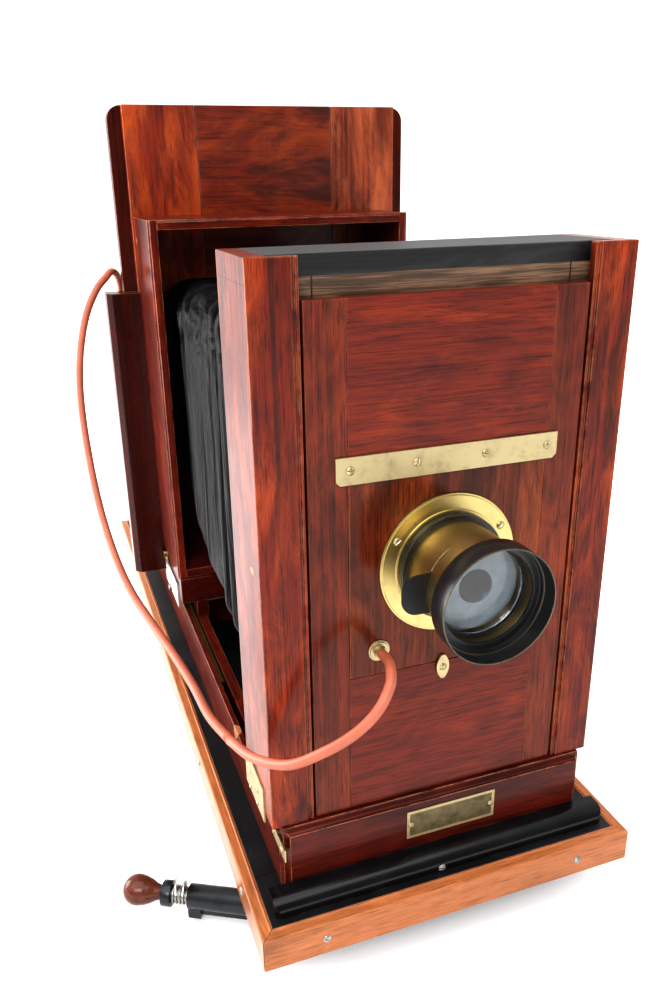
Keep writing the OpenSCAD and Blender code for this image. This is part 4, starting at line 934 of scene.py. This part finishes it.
class WOOD_OT_finish(bpy.types.Operator):
    """Varnishes and paints the wooden pieces."""
    bl_idname = "viewcam.wood"
    bl_label = "Woodwork"

    def execute(self, context):
        wood = context.scene.camera_wood
        joints = varnished("box sides varnish", "Z", amber=0.72, wear=1.0, smoky=0.95, marks=self.finger_joints,
                           colours=((0.024, 0.007, 0.006), (0.165, 0.020, 0.008), (0.38, 0.066, 0.012)))
        dress("front_box_sides", joints)
        dress("panel_rails", varnished("panel rails varnish", "Z", amber=0.60, wear=0.4,
                                       colours=((0.026, 0.008, 0.006), (0.150, 0.025, 0.010), (0.25, 0.055, 0.016))))
        dress("panel_boards", varnished("panel boards varnish", "X", amber=0.55, wear=0.3, smoky=0.45,
                                        colours=((0.040, 0.008, 0.007), (0.165, 0.023, 0.009), (0.27, 0.046, 0.013))))
        dress("lens_board", varnished("lens board varnish", "Z", amber=0.7, wear=0.6, smoky=0.8,
                                      colours=((0.030, 0.008, 0.004), (0.150, 0.030, 0.010), (0.30, 0.075, 0.018))))
        dress("plinth", varnished("plinth varnish", "X", amber=0.30, depth=0.75, wear=0.7))
        dress("rear_box_sides", varnished("rear box side varnish", "Z", amber=0.55, wear=1.0))
        dress("rear_box_rails", varnished("rear box rail varnish", "X", amber=0.55, wear=1.0))
        dress("back_frame", varnished("back frame varnish", "Z", amber=0.05, depth=0.42, wear=0.8, rough=0.26))
        dress("crown_boards", self.crown())
        dress("crown_backing", varnished("crown backing varnish", "Z", amber=0.2, depth=0.55, wear=0.7))
        dress("carriage_base", varnished("carriage varnish", "Y", amber=0.2, depth=0.6, wear=0.5))
        dress("bed_sides", varnished("bed side varnish", "Y", amber=0.5, depth=0.85, wear=0.9))
        dress("bed_tracks", varnished("bed track varnish", "Y", amber=0.45, depth=0.8, wear=0.6))
        for node in ("riser_frame", "shifter_frame", "glass_frame"):
            dress(node, varnished(node + " varnish", "Z", amber=0.5, wear=0.8))
        tan = (shade(wood.tan, 0.50), tuple(wood.tan), shade(wood.tan, 1.45))
        half_w, half_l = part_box("table_edging")[1][:2]
        dress("table_edging", varnished("edging varnish", "X", amber=0.5, wear=0.4, colours=tan, second_run="Y",
                                        where=lambda f: (f.axis("X").size() - half_w) > (f.axis("Y").size() - half_l)))
        dress("table_bearers", varnished("bearer oil", "Y", amber=0.3, wear=0.2, rough=0.55,
                                         colours=((0.07, 0.03, 0.015), (0.17, 0.08, 0.04), (0.24, 0.12, 0.06))))
        dress("table_boards", painted_black("table paint", 0.42, 0.3, 0.55, "Y"))
        dress("stop_bar", painted_black("stop bar paint", 0.16, 0.7, 0.35, "X"))
        dress("shutter_case", painted_black("shutter case paint", 0.5, 0.2))
        dress("front_box_boards", self.header(context))
        knob = varnished("knob polish", "X", amber=0.3, wear=0.0, rough=0.22,
                         colours=((0.05, 0.015, 0.010), (0.14, 0.045, 0.028), (0.20, 0.070, 0.040)))
        dress("handle_grip", knob)
        for node in ("front_box_sides", "panel_rails", "panel_boards", "lens_board", "front_box_boards",
                     "rear_box_sides", "rear_box_rails", "crown_boards", "table_edging", "table_boards",
                     "bed_sides", "bed_tracks", "carriage_base", "riser_frame", "shifter_frame", "back_frame"):
            soften(node)
        return {"FINISHED"}

    @staticmethod
    def finger_joints(finish):
        """Dark glue lines of the joints at the top of the box."""
        near_top = finish.axis("Z") > (BOX_HIGH.z - 0.022)
        step = (finish.axis("Y") * (1 / 0.0125)).math("FRACT", finish.axis("Y") * (1 / 0.0125))
        foot = (finish.axis("Z") - (BOX_HIGH.z - 0.022)).size() < 0.0005
        outside = finish.axis("X").size() > (BOX_HIGH.x - 0.0004)
        lines = outside * (near_top * (step < 0.09) + foot * 0.7)
        return lines.math("MINIMUM", lines, 0.85)

    @staticmethod
    def crown():
        """Upright cleats, the left one redder and the right one paler, with a dark board between them."""
        finish = Finish("crown varnish")
        wood = looks("camera_wood")
        centre = (CROWN_LOW.x + CROWN_HIGH.x) / 2
        across = finish.axis("X") - centre
        board = across.size() < 0.105
        upright, level = grain(finish, "Z"), grain(finish, "X")
        streaks, lines, figure, smoke = (board * b + (1 - board) * a for a, b in zip(upright, level))
        right = across > 0.105
        red = finish.mix(right, (0.21, 0.026, 0.009), (0.23, 0.045, 0.016))
        bright = finish.mix(right, (0.46, 0.090, 0.016), (0.43, 0.115, 0.042))
        deep = (0.032, 0.008, 0.006)
        base = finish.mix(streaks.spread(0.30, 0.60) * 0.85 + 0.15, shade(deep, 1.5), red)
        base = finish.mix(figure.spread(0.40, 0.68) * (0.8 - 0.30 * board), base, bright)
        dark = smoke.spread(0.46, 0.66) * (0.55 + 0.25 * board) + board * 0.28
        base = finish.mix(dark.math("MINIMUM", dark, 0.85), base, shade(deep, 1.2))
        base = finish.mix(lines.spread(0.56, 0.70) * 0.6, base, shade(deep, 0.6))
        seam = (across.size() - 0.105).size() < 0.0006
        base = finish.mix(seam * 0.7, base, (0.10, 0.05, 0.04))
        rubbed = finish.noise(30, 5, 0.7)
        bare = finish.edge() * rubbed.spread(0.36, 0.58) * 0.7
        base = finish.mix(bare, base, tuple(wood.worn))
        return finish.finish(Base_Color=base, Roughness=rubbed * 0.25 + 0.20, Coat_Weight=0.3, Coat_Roughness=0.12,
                             Normal=finish.bump(lines * -0.5 + rubbed * 0.3, 0.25, 0.0006), Specular_IOR_Level=0.35)

    def header(self, context):
        """Black rail over a weathered board, at the top of the front box."""
        finish = Finish("header boards")
        wood = context.scene.camera_wood
        up = finish.axis("Z")
        rail = up > (BOX_HIGH.z - 0.0185)
        streaks, lines, figure, _ = grain(finish, "X")
        bare = finish.mix(streaks.spread(0.35, 0.65), shade(wood.grey, 0.28), tuple(wood.grey))
        bare = finish.mix(lines.spread(0.52, 0.68) * 0.8, bare, shade(wood.grey, 0.18))
        end = (finish.axis("X").size() - 0.128).size() < 0.0008
        bare = finish.mix(end, bare, (0.01, 0.008, 0.007))
        black = finish.mix(figure.spread(0.5, 0.8) * 0.5, tuple(wood.black), (0.06, 0.055, 0.055))
        base = finish.mix(rail, bare, black)
        worn = finish.edge() * figure.spread(0.35, 0.6) * 0.7
        base = finish.mix(worn, base, (0.30, 0.24, 0.20))
        return finish.finish(Base_Color=base, Roughness=0.55 - 0.15 * rail + streaks * 0.1,
                             Normal=finish.bump(streaks + lines * -0.5, 0.35, 0.0008))


class METAL_OT_finish(bpy.types.Operator):
    """Finishes the metal pieces and the glasses."""
    bl_idname = "viewcam.metal"
    bl_label = "Metalwork and glass"

    def execute(self, context):
        metal = context.scene.camera_metal
        brass = aged_brass("lens brass", tuple(metal.brass), rough=0.30, tarnish=0.35)
        pale = aged_brass("rubbed brass", tuple(metal.pale_brass), rough=0.40, tarnish=0.6)
        dress("lens_flange", brass)
        dress("lens_barrel", aged_brass("barrel brass", (0.44, 0.335, 0.165), rough=0.36, tarnish=0.35))
        dress("brass_plates", name_plate_brass("plate brass", tuple(metal.pale_brass)))
        dress("board_strip", aged_brass("strip brass", tuple(metal.pale_brass), rough=0.42, tarnish=0.45,
                                        brushed=(8, 300, 400)))
        for node in ("turn_button", "hose_nipple"):
            dress(node, pale)
        for node in ("focus_racks", "carriage_clamp", "glass_latch", "shutter_cylinder"):
            dress(node, brass)
        enamel = worn_enamel("lens enamel")
        dress("lens_collar", enamel)
        dress("lens_hood", worn_enamel("hood enamel", 1.0, 0.30, 0.0545))
        dress("waterhouse_stop", stop_plate("stop plate"))
        rim = 0.0435
        dress("front_lens", clear_glass("front glass", rim))
        dress("rear_lens", clear_glass("rear glass", rim))
        dress("ground_glass", matt_glass("ground glass"))
        black = plain_metal("japanned iron", (0.03, 0.032, 0.035), 0.28, 0.5, 0.6)
        for node in ("base_plate", "handle_housing", "handle_rod", "focus_knob"):
            dress(node, black)
        for node in ("shutter_leaf_left", "shutter_leaf_right"):
            dress(node, plain_metal("hard rubber " + node, (0.02, 0.02, 0.022), 0.4, 0.2, 0.0))
        dress("side_plates", plain_metal("nickel plate", tuple(metal.nickel), 0.42, 0.5))
        dress("handle_guards", plain_metal("bright guard", shade(metal.nickel, 1.2), 0.22, 0.35))
        steel = plain_metal("turned steel", tuple(metal.steel), 0.34, 0.4)
        for node in ("focus_shaft", "shutter_piston", "handle_spring"):
            dress(node, steel)
        for node, width in (("lens_hood", 0.0007), ("lens_flange", 0.0006), ("lens_collar", 0.0006),
                            ("handle_housing", 0.0012), ("handle_rod", 0.0010), ("focus_knob", 0.0008),
                            ("hose_nipple", 0.0005), ("turn_button", 0.0004), ("board_strip", 0.0004)):
            soften(node, width)
        return {"FINISHED"}


class SCREW_OT_make(bpy.types.Operator):
    """Puts detailed screw heads in the places of the simple ones."""
    bl_idname = "viewcam.screws"
    bl_label = "Screws"

    def execute(self, context):
        metal = context.scene.camera_metal
        dark = plain_metal("darkened screws", shade(metal.steel, 1.1), 0.30, 0.75)
        pale = aged_brass("screw brass", shade(metal.pale_brass, 0.9), 0.36, 0.5)
        screws_for("table_screws", "edging_screws", 0.0046, dark, TABLE)
        screws_for("brass_screws", "bracket_screws", 0.0034, pale, TABLE)
        screws_for("panel_screws", "panel_screw_heads", 0.0042, pale, PANEL)
        button = middle("turn_button")
        button.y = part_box("turn_button")[0][1] + 0.0004
        put_screws("button_screw", [(button, (0, -1, 0), 40)], 0.0042, pale, "board_button")
        return {"FINISHED"}


class CAMERA_PT_panel(bpy.types.Panel):
    """Lists the camera's pieces in the sidebar."""
    bl_label = "View camera"
    bl_space_type = "VIEW_3D"
    bl_region_type = "UI"
    bl_category = "View camera"

    def draw(self, context):
        for group in GROUPS:
            settings = getattr(context.scene, group)
            box = self.layout.box()
            for key in settings.__annotations__:
                box.prop(settings, key)
        for operator in OPERATORS:
            self.layout.operator(operator.bl_idname)


OPERATORS = [STAGE_OT_camera, HOSE_OT_make, STAGE_OT_studio, BELLOWS_OT_make, WOOD_OT_finish, METAL_OT_finish,
             SCREW_OT_make]


def register():
    for cls in [*GROUPS.values(), *OPERATORS, CAMERA_PT_panel]:
        bpy.utils.register_class(cls)
    for name, cls in GROUPS.items():
        setattr(bpy.types.Scene, name, bpy.props.PointerProperty(type=cls))


def unregister():
    for name in GROUPS:
        delattr(bpy.types.Scene, name)
    for cls in [CAMERA_PT_panel, *reversed(OPERATORS), *GROUPS.values()]:
        bpy.utils.unregister_class(cls)


def main():
    """Makes everything in order."""
    register()
    for operator in OPERATORS:
        group, name = operator.bl_idname.split(".")
        getattr(getattr(bpy.ops, group), name)()


if __name__ == "__main__":
    main()
